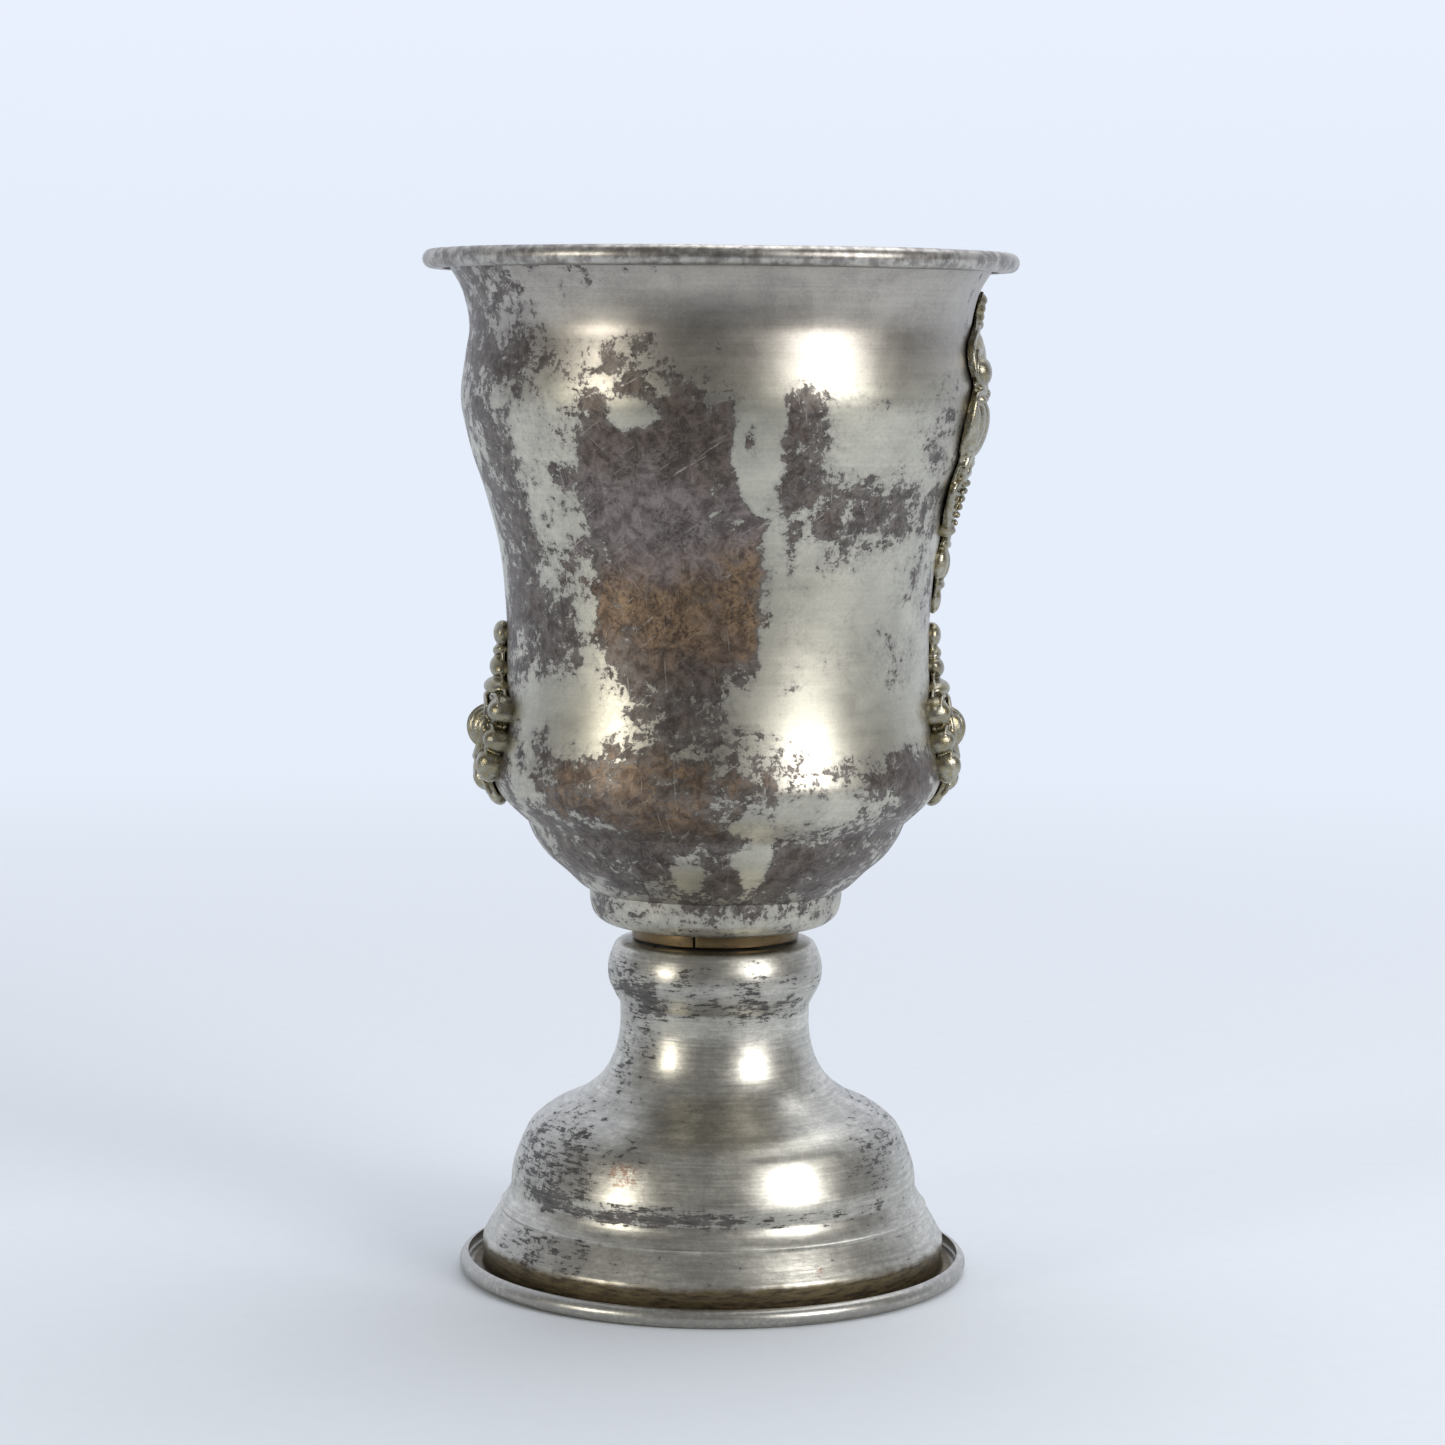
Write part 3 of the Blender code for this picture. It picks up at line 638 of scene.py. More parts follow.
def bowl_tones(tree, coords, angle, height, ragged, thick):
    """The tarnish's colour: grey where thin, brown to black where thick, orange and violet in front."""
    fine = ramp(tree, noise(tree, coords, 480.0, 9.0, 0.76, 0.7, shift=4.0), 0.38, 0.62)
    coarse = ramp(tree, noise(tree, coords, 150.0, 9.0, 0.72, 0.3, shift=6.0), 0.42, 0.60)
    specks = ramp(tree, noise(tree, coords, 1900.0, 4.0, 0.7, shift=1.0), 0.47, 0.60)
    brown = blend(tree, fine, colour(0.078, 0.060, 0.051), colour(0.205, 0.164, 0.139))
    orange = blend(tree, fine, colour(0.150, 0.096, 0.060), colour(0.430, 0.285, 0.165))
    violet = blend(tree, fine, colour(0.150, 0.122, 0.120), colour(0.330, 0.285, 0.278))
    warm = calc(tree, "MAXIMUM", patch(tree, angle, height, ragged, -8, 25, 102, 8),
                calc(tree, "MULTIPLY", patch(tree, angle, height, ragged, -18, 30, 74, 5), 0.85))
    dark = blend(tree, calc(tree, "MULTIPLY", warm, calc(tree, "ADD", 0.45, calc(tree, "MULTIPLY", coarse, 0.55))),
                 brown, orange)
    dark = blend(tree, calc(tree, "MULTIPLY", patch(tree, angle, height, ragged, -20, 22, 112, 7), 0.8), dark, violet)
    black = calc(tree, "MULTIPLY", coarse, calc(tree, "ADD", 0.25, calc(tree, "MULTIPLY", specks, 0.6)))
    dark = blend(tree, black, dark, colour(0.048, 0.038, 0.034))
    thin = blend(tree, fine, colour(0.100, 0.088, 0.080), colour(0.205, 0.185, 0.168))
    return blend(tree, thick, thin, dark)


def bowl_scratches(tree, place, flecks):
    """Pale hairlines and rubbed strokes: slanting, upright and across."""
    masks = []
    for turn, scale, low, shift in ((-34, (0.10, 1.5, 1.0), 0.60, 0.0), (84, (0.09, 2.0, 1.0), 0.61, 2.0),
                                    (48, (0.13, 3.0, 1.0), 0.62, 4.0), (-62, (0.11, 3.2, 1.0), 0.63, 6.0)):
        turned = node(
            tree, "ShaderNodeVectorRotate", {"Vector": place["Unrolled"], "Angle": math.radians(turn)},
            rotation_type="Z_AXIS",
        ).outputs[0]
        along = noise(tree, stretched(tree, turned, scale), 1.0, 5.0, 0.72, 0.25, shift=shift)
        masks.append(ramp(tree, along, low, low + 0.05))
    marks = masks[0]
    for mask in masks[1:]:
        marks = calc(tree, "MAXIMUM", marks, mask)
    return calc(tree, "MULTIPLY", marks, ramp(tree, flecks, 0.40, 0.52))


def bowl_plate():
    """Silver plate with brown and black tarnish, worn through to warm metal in front."""
    material, tree, shader = new_material("worn_bowl_plate")
    place = group(tree, "Place on the cup")
    coords, angle, height = place["Coords"], place["Angle"], place["Height"]
    ragged = calc(tree, "MULTIPLY", calc(tree, "SUBTRACT", noise(tree, coords, 210.0, 9.0, 0.70), 0.5), 3.2)
    bias = calc(tree, "MULTIPLY", bias_of(tree, BOWL_PATCHES, angle, height, ragged), 1.25)
    flecks = noise(tree, coords, 1150.0, 6.0, 0.72, 0.6, shift=2.0)
    level = total(
        tree, calc(tree, "MULTIPLY", noise(tree, coords, 125.0, 10.0, 0.70, 0.5), 0.62),
        calc(tree, "MULTIPLY", noise(tree, coords, 340.0, 9.0, 0.74, 0.6, shift=8.0), 0.70),
        calc(tree, "MULTIPLY", flecks, 0.50),
        calc(tree, "MULTIPLY", noise(tree, stretched(tree, coords, (130.0, 130.0, 950.0)), 1.0, 6.0, 0.7, shift=5.0), 0.26),
        bias,
    )
    haze = ramp(tree, level, 0.92, 1.08)
    tarnish = ramp(tree, level, 1.075, 1.092)
    thick = ramp(tree, level, 1.09, 1.28)
    wear = group(tree, "Metal wear", {"Coords": coords, "Lines": 0.35, "Grain": 0.6})
    shade_mix = ramp(tree, wear["Shade"], 0.32, 0.68)
    silver = blend(tree, shade_mix, colour(0.440, 0.418, 0.350), colour(0.665, 0.636, 0.535))
    silver = blend(tree, calc(tree, "MULTIPLY", haze, 0.55), silver, colour(0.330, 0.308, 0.278))
    # The flare under the lip is brushed and pinkish, and the lip itself dull. The flare's darker tone reaches down onto
    # the upper bulge as painted shade, which dims the key light's highlight there.
    flare_tone_and_painted_shade = calc(tree, "MULTIPLY", ramp(tree, height, 127.0, 138.0), 0.72)
    silver = blend(tree, flare_tone_and_painted_shade, silver, blend(tree, shade_mix, colour(0.260, 0.230, 0.212), colour(0.470, 0.435, 0.400)))
    base = blend(tree, tarnish, silver, bowl_tones(tree, coords, angle, height, ragged, thick))
    base = blend(tree, calc(tree, "MULTIPLY", bowl_scratches(tree, place, flecks), 0.70), base, colour(0.430, 0.400, 0.360))
    lip = calc(tree, "MULTIPLY", ramp(tree, height, 146.9, 147.6), ramp(tree, place["Radius"], 39.3, 39.8))
    lip_tone = blend(tree, ramp(tree, noise(tree, coords, 500.0, 6.0, 0.7), 0.40, 0.60),
                     colour(0.230, 0.210, 0.195), colour(0.560, 0.535, 0.490))
    base = blend(tree, calc(tree, "MULTIPLY", lip, 0.85), base, lip_tone)
    bright = calc(tree, "SUBTRACT", 1.0, tarnish)
    metallic = ramp(tree, bright, 0.0, 1.0, 0.72, 1.0)
    roughness = total(tree, ramp(tree, tarnish, 0.0, 1.0, 0.38, 0.44), calc(tree, "MULTIPLY", wear["Dullness"], 0.18))
    relief = total(tree, calc(tree, "MULTIPLY", wear["Height"], 0.7), calc(tree, "MULTIPLY", bright, 0.4))
    connect(tree, shader, base, roughness, metallic, relief, 0.22, 0.00006)
    return material


FOOT_PATCHES = (
    (-62, 24, 20, 6, 0.085), (-58, 22, 36, 7, 0.085), (56, 20, 20, 4, 0.075), (-30, 6, 20.5, 2.6, 0.08),
    (-30, 40, 14.0, 1.6, 0.085), (10, 70, 13.2, 1.0, 0.06), (-52, 20, 7, 3, 0.08), (20, 60, 40.5, 1.6, 0.08),
    (0, 180, 44, 2.4, 0.05), (-60, 40, 45, 4, 0.06), (120, 40, 22, 9, 0.08), (-150, 30, 30, 9, 0.08),
    (20, 22, 22, 4, -0.06), (0, 180, 33, 5, -0.02), (-30, 3.2, 19, 1.9, -0.10),
)


def foot_plate():
    """Brushed grey silver plate with short dark streaks, brassy in its gutter."""
    material, tree, shader = new_material("worn_foot_plate")
    place = group(tree, "Place on the cup")
    coords, angle, height, radius = place["Coords"], place["Angle"], place["Height"], place["Radius"]
    ragged = calc(tree, "MULTIPLY", calc(tree, "SUBTRACT", noise(tree, coords, 300.0, 6.0, 0.62), 0.5), 2.0)
    streaks = noise(tree, stretched(tree, coords, (330.0, 330.0, 1900.0)), 1.0, 8.0, 0.76, 0.3)
    level = total(
        tree, calc(tree, "MULTIPLY", streaks, 0.62),
        calc(tree, "MULTIPLY", noise(tree, coords, 1000.0, 6.0, 0.7, 0.5, shift=6.0), 0.30),
        calc(tree, "MULTIPLY", noise(tree, coords, 170.0, 7.0, 0.62, 0.4, shift=3.0), 0.28),
        bias_of(tree, FOOT_PATCHES, angle, height, ragged),
    )
    streaked = ramp(tree, level, 0.690, 0.722)
    clouded = ramp(tree, level, 0.50, 0.70)
    wear = group(tree, "Metal wear", {"Coords": coords, "Lines": 1.0, "Grain": 0.6})
    silver = blend(tree, ramp(tree, wear["Shade"], 0.34, 0.66), colour(0.450, 0.433, 0.378), colour(0.770, 0.743, 0.660))
    silver = blend(tree, calc(tree, "MULTIPLY", clouded, 0.66), silver, colour(0.330, 0.315, 0.285))
    soot = blend(tree, ramp(tree, streaks, 0.45, 0.65), colour(0.150, 0.140, 0.130), colour(0.060, 0.055, 0.051))
    base = blend(tree, streaked, silver, soot)
    copper = calc(tree, "MAXIMUM", patch(tree, angle, height, ragged, -30, 4.5, 19.2, 1.6),
                  patch(tree, angle, height, ragged, 24, 1.3, 6.4, 0.6))
    flaking = ramp(tree, noise(tree, coords, 1000.0, 5.0, 0.7, 0.6, shift=8.0), 0.46, 0.56)
    base = blend(tree, calc(tree, "MULTIPLY", copper, calc(tree, "MULTIPLY", flaking, 0.8)), base,
                 colour(0.270, 0.160, 0.110))
    # The turned-down wall and the gutter keep old brassy lacquer and dirt
    low_wall = ramp(tree, calc(tree, "ADD", height, calc(tree, "MULTIPLY", ragged, 0.9)), 5.6, 4.4)
    gutter = calc(tree, "MULTIPLY", low_wall, ramp(tree, radius, 35.9, 35.3))
    brassy = blend(tree, ramp(tree, streaks, 0.42, 0.62), colour(0.165, 0.125, 0.065), colour(0.055, 0.042, 0.028))
    base = blend(tree, gutter, base, brassy)
    ring_speckle = ramp(tree, noise(tree, coords, 1300.0, 5.0, 0.7, shift=2.0), 0.40, 0.58, 0.35, 0.95)
    base = blend(tree, calc(tree, "MULTIPLY", ramp(tree, radius, 35.6, 36.2), ring_speckle), base,
                 colour(0.370, 0.358, 0.332))
    soil = calc(tree, "MAXIMUM", streaked, calc(tree, "MULTIPLY", gutter, 0.6))
    roughness = total(tree, ramp(tree, soil, 0.0, 1.0, 0.33, 0.50), calc(tree, "MULTIPLY", wear["Dullness"], 0.18))
    metallic = ramp(tree, soil, 0.0, 1.0, 1.0, 0.6)
    connect(tree, shader, base, roughness, metallic, wear["Height"], 0.36, 0.00006)
    return material


def cast_silver():
    """Cast ornament: grey silver on the raised work, brassy between, and near black in the hollows, where grime is
    mixed with painted shade.
    """
    material, tree, shader = new_material("cast_ornament_silver")
    coords = node(tree, "ShaderNodeTexCoord").outputs["Object"]
    hollow = node(tree, "ShaderNodeAttribute", attribute_name="hollow").outputs["Fac"]
    mottle = noise(tree, coords, 900.0, 8.0, 0.74, 0.4)
    level = calc(tree, "ADD", hollow, calc(tree, "MULTIPLY", calc(tree, "SUBTRACT", mottle, 0.5), 1.5))
    brassy = ramp(tree, level, 0.25, 0.49)
    # Near black where the relief is deepest: grime, and painted shade for the shade that falls in the hollows.
    grime_and_painted_shade = ramp(tree, level, 0.52, 0.74)
    wear = group(tree, "Metal wear", {"Coords": coords, "Lines": 0.1, "Grain": 1.0})
    silver = blend(tree, ramp(tree, wear["Shade"], 0.3, 0.7), colour(0.165, 0.150, 0.112), colour(0.560, 0.530, 0.440))
    brass = blend(tree, ramp(tree, mottle, 0.35, 0.65), colour(0.085, 0.070, 0.036), colour(0.340, 0.285, 0.150))
    base = blend(tree, calc(tree, "MULTIPLY", brassy, 0.85), silver, brass)
    base = blend(tree, calc(tree, "MULTIPLY", grime_and_painted_shade, 0.88), base, colour(0.026, 0.023, 0.017))
    roughness = total(tree, ramp(tree, grime_and_painted_shade, 0.0, 1.0, 0.27, 0.6), calc(tree, "MULTIPLY", wear["Dullness"], 0.2))
    metallic = ramp(tree, grime_and_painted_shade, 0.0, 1.0, 1.0, 0.5)
    connect(tree, shader, base, roughness, metallic, calc(tree, "ADD", wear["Height"], mottle), 0.50, 0.00010)
    return material


def fastening(name, low, high, soil, rough, lines):
    """A plain metal for the collar and the fastenings: two tones, stains and fine marks."""
    material, tree, shader = new_material(name)
    coords = node(tree, "ShaderNodeTexCoord").outputs["Object"]
    wear = group(tree, "Metal wear", {"Coords": coords, "Lines": lines, "Grain": 1.0})
    base = blend(tree, wear["Shade"], low, high)
    stains = ramp(tree, noise(tree, coords, 520.0, 6.0, 0.68, 0.5, shift=5.0), 0.50, 0.68)
    base = blend(tree, calc(tree, "MULTIPLY", stains, 0.8), base, soil)
    roughness = total(tree, ramp(tree, stains, 0.0, 1.0, rough, rough + 0.2), calc(tree, "MULTIPLY", wear["Dullness"], 0.2))
    metallic = ramp(tree, stains, 0.0, 1.0, 1.0, 0.7)
    connect(tree, shader, base, roughness, metallic, wear["Height"], 0.3, 0.00006)
    return material


def backdrop_paper():
    """Pale matt paper with the faintest tooth, painted dark in front of the camera: painted shade for the dim room that
    the metal reflects.
    """
    material, tree, shader = new_material("backdrop_paper")
    coords = node(tree, "ShaderNodeTexCoord").outputs["Object"]
    tooth = noise(tree, coords, 300.0, 4.0, 0.6)
    paper = blend(tree, tooth, colour(0.780, 0.815, 0.860), colour(0.820, 0.855, 0.900))
    along = node(tree, "ShaderNodeSeparateXYZ", {0: coords}).outputs[1]
    # Painted shade: the paper turns dark towards the camera, though the lights still reach it there.
    base = blend(tree, ramp(tree, along, -0.14, -0.42), paper, colour(0.150, 0.160, 0.175))
    connect(tree, shader, base, 0.85, 0.0, tooth, 0.05, 0.0002)
    shader.inputs["Specular IOR Level"].default_value = 0.1
    flat = node(tree, "ShaderNodeVectorMath", {0: coords, 1: (1.0, 1.0, 0.0)}, operation="MULTIPLY").outputs[0]
    away = node(tree, "ShaderNodeVectorMath", {0: flat}, operation="LENGTH").outputs["Value"]
    glow = node(tree, "ShaderNodeEmission", {"Color": colour(*HORIZON), "Strength": 1.0})
    fade = calc(tree, "MULTIPLY", ramp(tree, away, 0.10, 0.72), ramp(tree, along, -0.25, 0.05))
    shown = node(tree, "ShaderNodeMixShader", {0: fade, 1: shader.outputs[0], 2: glow.outputs[0]})
    tree.links.new(shown.outputs[0], tree.nodes["Material Output"].inputs["Surface"])
    return material


HORIZON = (0.791, 0.855, 0.965)
ZENITH = (0.831, 0.880, 1.000)


# ---------------------------------------------------------------- add-on: sizes and colours

class SheetSettings(bpy.types.PropertyGroup):
    wall: bpy.props.FloatProperty(
        name="Sheet thickness", description="Thickness of the spun sheet", default=0.75 * MM, unit="LENGTH",
        min=0.3 * MM, max=1.1 * MM, precision=5,
    )
    turns: bpy.props.IntProperty(
        name="Steps round", description="How many facets the spun pieces have round the axis",
        default=192, min=48, max=256,
    )
    waviness: bpy.props.FloatProperty(
        name="Waviness", description="How far the sheet strays from its outline", default=0.16 * MM,
        unit="LENGTH", precision=5,
    )


class OrnamentSettings(bpy.types.PropertyGroup):
    grain: bpy.props.FloatProperty(
        name="Casting detail", description="Size of the smallest detail that the castings keep, in mm",
        default=0.19, min=0.1, max=0.6,
    )
    gap: bpy.props.FloatProperty(
        name="Gap behind", description="Distance from the wall to the back of a casting", default=0.3 * MM,
        unit="LENGTH", precision=5,
    )
    emblem_middle: bpy.props.FloatProperty(
        name="Emblem height", description="Height of the middle of the tall ornament", default=121.2 * MM,
        unit="LENGTH",
    )
    rosette_middle: bpy.props.FloatProperty(
        name="Rosette height", description="Height of the middle of the lower ornaments", default=83.0 * MM,
        unit="LENGTH",
    )


class StudSettings(bpy.types.PropertyGroup):
    radius: bpy.props.FloatProperty(
        name="Stud radius", description="Outer radius of the thread", default=3.0 * MM, unit="LENGTH", precision=5,
    )
    pitch: bpy.props.FloatProperty(
        name="Thread pitch", description="Distance from one thread to the next", default=1.0 * MM, unit="LENGTH",
        precision=5,
    )


class StudioSettings(bpy.types.PropertyGroup):
    distance: bpy.props.FloatProperty(
        name="Camera distance", description="From the lens to the cup's axis", default=0.551, unit="LENGTH",
    )
    eye_height: bpy.props.FloatProperty(
        name="Camera height", description="Height of the lens over the floor", default=0.1373, unit="LENGTH",
    )
    turn: bpy.props.FloatProperty(
        name="Camera turn", description="How far the camera stands round from the front", subtype="ANGLE",
        default=math.radians(-3.0),
    )
    key_power: bpy.props.FloatProperty(
        name="Key light", description="Power of the large softbox, in watts", default=4.2,
    )


class CHALICE_OT_bowl(bpy.types.Operator):
    """Spins the bowl with its rolled lip"""
    bl_idname = "chalice.bowl"
    bl_label = "Bowl"

    def execute(self, context):
        sheet = context.scene.chalice_sheet
        bowl = spun("bowl_spun", bowl_outline(sheet.wall), sheet.turns)
        face_outwards(bowl, BOWL_SEAT + 0.6 * BOWL_HEIGHT)
        dent(bowl, 0.022, sheet.waviness)
        apply_modifier(bowl, "SOLIDIFY", thickness=sheet.wall, offset=-1.0, use_even_offset=True)
        shade(bowl, 40)
        finish_piece(bowl, bowl_plate(), "bowl_plate", "bowl")
        return {"FINISHED"}


class CHALICE_OT_foot(bpy.types.Operator):
    """Spins the foot with its knop, bell, gutter and curled base ring"""
    bl_idname = "chalice.foot"
    bl_label = "Foot"

    def execute(self, context):
        sheet = context.scene.chalice_sheet
        foot = spun("foot_spun", foot_outline(sheet.wall), sheet.turns)
        face_outwards(foot, 37 * MM)
        apply_modifier(foot, "SOLIDIFY", thickness=sheet.wall, offset=-1.0, use_even_offset=True)
        shade(foot, 40)
        finish_piece(foot, foot_plate(), "foot_plate", "foot")
        return {"FINISHED"}


class CHALICE_OT_collar(bpy.types.Operator):
    """Bends the brass strip of the collar, with its open butt seam"""
    bl_idname = "chalice.collar"
    bl_label = "Collar"

    def execute(self, context):
        low, high = (corner[2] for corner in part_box("stem_collar"))
        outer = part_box("stem_collar")[1][0]
        inner = outer - 1.0 * MM
        seam = 0.35 * MM / outer
        outline = [(outer, high), (outer, low), (inner, low), (inner, high)]
        collar = spun("collar_strip", outline, 150, closed=True, sweep=2 * math.pi - seam)
        activate(collar)
        bpy.ops.object.mode_set(mode="EDIT")
        bpy.ops.mesh.select_all(action="SELECT")
        bpy.ops.mesh.fill_holes(sides=4)
        bpy.ops.mesh.select_all(action="SELECT")
        bpy.ops.mesh.normals_make_consistent(inside=False)
        bpy.ops.object.mode_set(mode="OBJECT")
        collar.rotation_euler.z = math.radians(-109.0) + seam / 2
        bpy.ops.object.transform_apply(location=True, rotation=True, scale=True)
        apply_modifier(collar, "BEVEL", width=0.12 * MM, segments=3, limit_method="ANGLE")
        shade(collar, 40)
        # The collar's brass colours are painted dark: painted shade for the shade under the bowl, on top of the brass's
        # own dark tone.
        brass = fastening(
            "collar_brass", colour(0.075, 0.052, 0.026), colour(0.230, 0.160, 0.080),
            colour(0.060, 0.045, 0.030), 0.34, 0.3,
        )
        finish_piece(collar, brass, "collar_brass", "stem_collar")
        return {"FINISHED"}


class CHALICE_OT_stud(bpy.types.Operator):
    """Turns the flanged stud and cuts its thread"""
    bl_idname = "chalice.stud"
    bl_label = "Threaded stud"

    def execute(self, context):
        stud_sizes = context.scene.chalice_stud
        (_, _, low), (flange, _, top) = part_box("bowl_stud")
        shoulder = top - 1.2 * MM
        radius, pitch = stud_sizes.radius, stud_sizes.pitch
        steps = 96
        rows = [(radius, shoulder - (shoulder - low) * i / steps) for i in range(steps + 1)]
        outline = [
            (0.0, top), (flange - 0.2 * MM, top), (flange, top - 0.2 * MM), (flange, shoulder + 0.2 * MM),
            (flange - 0.2 * MM, shoulder), (radius + 0.3 * MM, shoulder),
        ] + rows + [(0.6 * radius, low), (0.0, low)]
        stud = spun("stud_threaded", outline, 60)
        depth = 0.61 * pitch
        for vert in stud.data.vertices:
            reach = vert.co.xy.length
            if vert.co.z > shoulder - 1.5 * pitch or reach < 0.99 * radius:
                continue
            turn = math.atan2(vert.co.y, vert.co.x) / (2 * math.pi)
            share = (vert.co.z / pitch + turn) % 1.0
            cut = depth * min(1.0, 2.2 * abs(share - 0.5))
            run_out = min(1.0, (shoulder - 1.5 * pitch - vert.co.z) / (0.5 * pitch))
            tip = min(0.6 * depth, max(0.0, low + 0.6 * pitch - vert.co.z))
            vert.co.xy = vert.co.xy * (1 - (max(cut * run_out, tip) / reach))
        shade(stud, 35)
        steel = fastening(
            "stud_steel", colour(0.300, 0.295, 0.285), colour(0.560, 0.555, 0.545),
            colour(0.120, 0.075, 0.045), 0.36, 0.2,
        )
        finish_piece(stud, steel, "stud_steel", "bowl_stud")
        return {"FINISHED"}


class CHALICE_OT_emblem(bpy.types.Operator):
    """Models the tall casting and bends it to the wall"""
    bl_idname = "chalice.emblem"
    bl_label = "Tall ornament"

    def execute(self, context):
        sizes = context.scene.chalice_ornament
        emblem = cast(emblem_pieces(), "emblem_casting", sizes.grain, 2)
        bend_to_wall(emblem, EMBLEM_SIDE, sizes.emblem_middle, sizes.gap)
        shade(emblem, 60)
        finish_piece(emblem, bpy.data.materials.get("cast_ornament_silver") or cast_silver(), "cast_ornament", "emblem")
        return {"FINISHED"}


class CHALICE_OT_rosettes(bpy.types.Operator):
    """Models the lower casting once, and bends a copy to each side of the wall"""
    bl_idname = "chalice.rosettes"
    bl_label = "Lower ornaments"

    def execute(self, context):
        sizes = context.scene.chalice_ornament
        flat = cast(rosette_pieces(), "rosette_right_casting", 0.8 * sizes.grain, 2)
        other = flat.copy()
        other.data = flat.data.copy()
        other.name = "rosette_left_casting"
        context.collection.objects.link(other)
        material = bpy.data.materials.get("cast_ornament_silver") or cast_silver()
        for casting, side, replaced in ((flat, 1, "rosette_right"), (other, -1, "rosette_left")):
            bend_to_wall(casting, side, sizes.rosette_middle, sizes.gap)
            shade(casting, 60)
            finish_piece(casting, material, "cast_ornament", replaced)
        return {"FINISHED"}


class CHALICE_OT_fastenings(bpy.types.Operator):
    """Finishes the nut, the washer and the solder"""
    bl_idname = "chalice.fastenings"
    bl_label = "Nut, washer and solder"

    def execute(self, context):
        steel = fastening(
            "nut_steel", colour(0.280, 0.275, 0.260), colour(0.520, 0.510, 0.480),
            colour(0.110, 0.070, 0.042), 0.38, 0.2,
        )
        brass = fastening(
            "washer_brass", colour(0.260, 0.190, 0.090), colour(0.480, 0.370, 0.200),
            colour(0.060, 0.045, 0.030), 0.42, 0.6,
        )
        solder = fastening(
            "dull_solder", colour(0.240, 0.235, 0.225), colour(0.400, 0.395, 0.380),
            colour(0.090, 0.085, 0.080), 0.52, 0.0,
        )
        finishes = {"clamp_nut": steel, "clamp_washer": brass}
        for name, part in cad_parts.items():
            if name in finishes or "solder" in name:
                part.data.materials.clear()
                part.data.materials.append(finishes.get(name, solder))
        return {"FINISHED"}


def softbox(name, turn, rise, distance, width, height, power, tint=(1.0, 1.0, 1.0)):
    """A rectangular light aimed at the cup: turn in degrees round from the front towards +X."""
    around, up = math.radians(turn), math.radians(rise)
    target = Vector((0.0, 0.0, 0.085))
    offset = Vector((math.sin(around) * math.cos(up), -math.cos(around) * math.cos(up), math.sin(up)))
    bpy.ops.object.light_add(type="AREA", location=target + distance * offset)
    lamp = bpy.context.object
    lamp.name = name
    lamp.data.shape = "RECTANGLE"
    lamp.data.size = width
    lamp.data.size_y = height
    lamp.data.energy = power
    lamp.data.color = tint
    lamp.rotation_euler = (-offset).to_track_quat("-Z", "Y").to_euler()
    lamp.visible_camera = False
    return lamp


def studio_world():
    """Pale surroundings for the eye; for the metal, a dim room in front and pale paper behind."""
    world = bpy.data.worlds.new("studio")
    bpy.context.scene.world = world
    world.use_nodes = True
    tree = world.node_tree
    toward = node(tree, "ShaderNodeTexCoord").outputs["Generated"]
    parts = node(tree, "ShaderNodeSeparateXYZ", {0: toward}).outputs
    sky = blend(tree, ramp(tree, parts[2], 0.0, 0.12), colour(*HORIZON), colour(*ZENITH))
    behind = ramp(tree, parts[1], -0.05, 0.75)
    room = blend(tree, ramp(tree, parts[2], 0.1, 0.9), colour(0.200, 0.200, 0.200), colour(0.300, 0.305, 0.310))
    seen_by_metal = blend(tree, behind, room, sky)
    to_eye = node(tree, "ShaderNodeLightPath").outputs["Is Camera Ray"]
    light = blend(tree, to_eye, seen_by_metal, sky)
    background = tree.nodes["Background"]
    tree.links.new(light, background.inputs["Color"])
    background.inputs["Strength"].default_value = 1.0


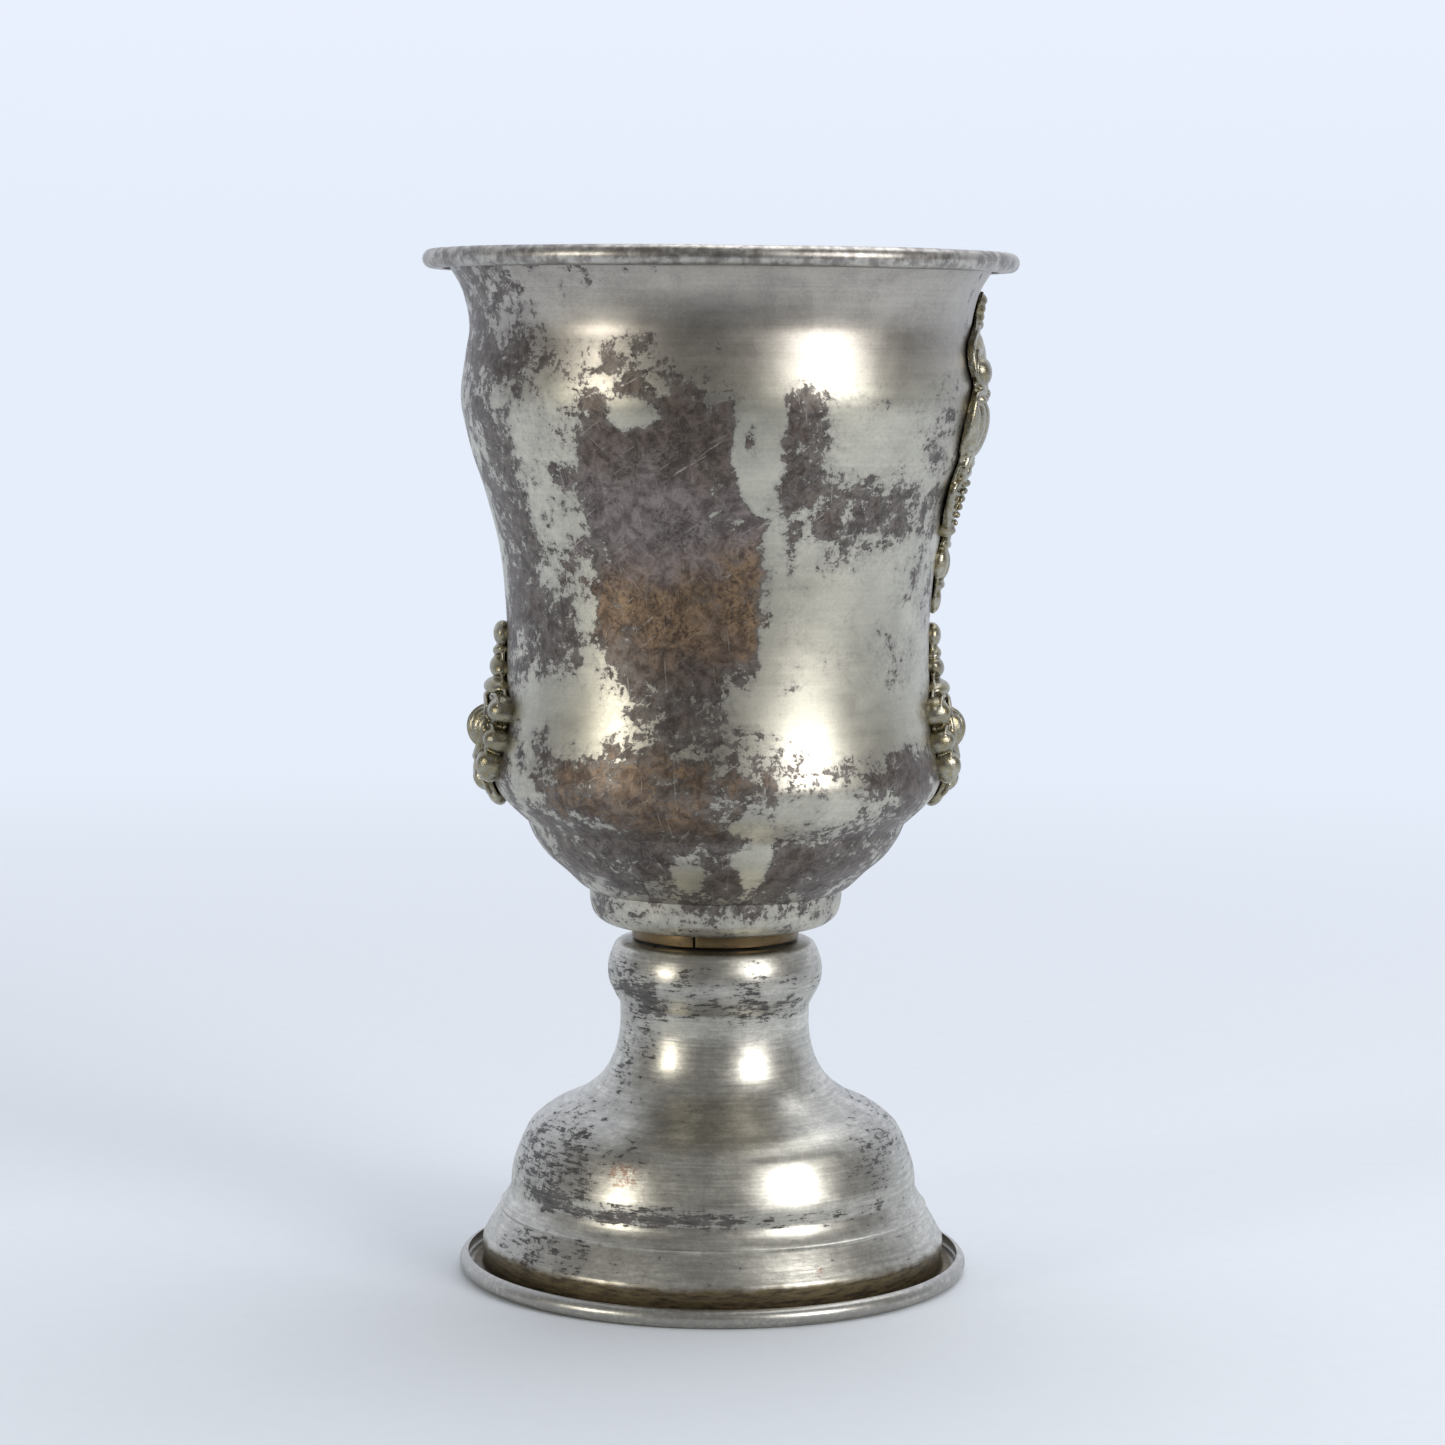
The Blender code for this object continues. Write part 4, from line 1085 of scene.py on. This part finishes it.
class CHALICE_OT_studio(bpy.types.Operator):
    """Lays the paper floor and sets the lights and the camera"""
    bl_idname = "chalice.studio"
    bl_label = "Studio"

    def execute(self, context):
        studio = context.scene.chalice_studio
        deselect()
        bpy.ops.mesh.primitive_circle_add(vertices=96, radius=2.6, fill_type="NGON")
        floor = context.object
        floor.name = "paper_floor"
        floor.data.materials.append(backdrop_paper())
        studio_world()
        softbox("key_softbox", 45, 19, 0.95, 0.42, 0.46, studio.key_power, (1.0, 1.0, 1.0))
        softbox("left_strip", -57, 9, 0.95, 0.18, 0.30, 0.46 * studio.key_power, (1.0, 0.97, 0.88))
        softbox("top_fill", 150, 70, 1.1, 0.9, 0.9, 1.32 * studio.key_power, (0.96, 0.98, 1.0))
        self.add_camera(context, studio)
        context.scene.view_settings.view_transform = "Standard"
        return {"FINISHED"}

    def add_camera(self, context, studio):
        turn, tilt, lean = studio.turn, math.radians(5.8), math.radians(0.5)
        side = Vector((math.cos(turn), math.sin(turn), 0.0))
        place = Vector((math.sin(turn), -math.cos(turn), 0.0)) * studio.distance
        bpy.ops.object.camera_add(location=place + side * 0.8 * MM + Vector((0.0, 0.0, studio.eye_height)))
        camera = context.object
        aim = Matrix.Rotation(turn, 4, "Z") @ Matrix.Rotation(math.radians(90) - tilt, 4, "X")
        camera.rotation_euler = (aim @ Matrix.Rotation(lean, 4, "Z")).to_euler()
        camera.data.lens = 93.9
        camera.data.sensor_width = 36.0
        camera.data.clip_start = 0.01
        context.scene.camera = camera


class CHALICE_PT_panel(bpy.types.Panel):
    """Lists the steps that build the chalice."""
    bl_idname = "CHALICE_PT_panel"
    bl_label = "Chalice"
    bl_space_type = "VIEW_3D"
    bl_region_type = "UI"
    bl_category = "Chalice"

    def draw(self, context):
        for name in ("chalice_sheet", "chalice_ornament", "chalice_stud", "chalice_studio"):
            settings = getattr(context.scene, name)
            column = self.layout.column()
            for key in settings.__annotations__:
                column.prop(settings, key)
        for step in STEPS:
            self.layout.operator(step.bl_idname)


STEPS = (
    CHALICE_OT_bowl, CHALICE_OT_foot, CHALICE_OT_collar, CHALICE_OT_stud, CHALICE_OT_emblem,
    CHALICE_OT_rosettes, CHALICE_OT_fastenings, CHALICE_OT_studio,
)
SETTINGS = {
    "chalice_sheet": SheetSettings, "chalice_ornament": OrnamentSettings,
    "chalice_stud": StudSettings, "chalice_studio": StudioSettings,
}


def register():
    for name, settings in SETTINGS.items():
        bpy.utils.register_class(settings)
        setattr(bpy.types.Scene, name, bpy.props.PointerProperty(type=settings))
    for step in STEPS + (CHALICE_PT_panel,):
        bpy.utils.register_class(step)


def unregister():
    for step in (CHALICE_PT_panel,) + STEPS[::-1]:
        bpy.utils.unregister_class(step)
    for name, settings in SETTINGS.items():
        delattr(bpy.types.Scene, name)
        bpy.utils.unregister_class(settings)


def main():
    register()
    make_place_group()
    make_patch_group()
    make_metal_wear_group()
    for step in STEPS:
        operator_name = step.bl_idname.split(".")[1]
        getattr(bpy.ops.chalice, operator_name)()


if __name__ == "__main__":
    main()
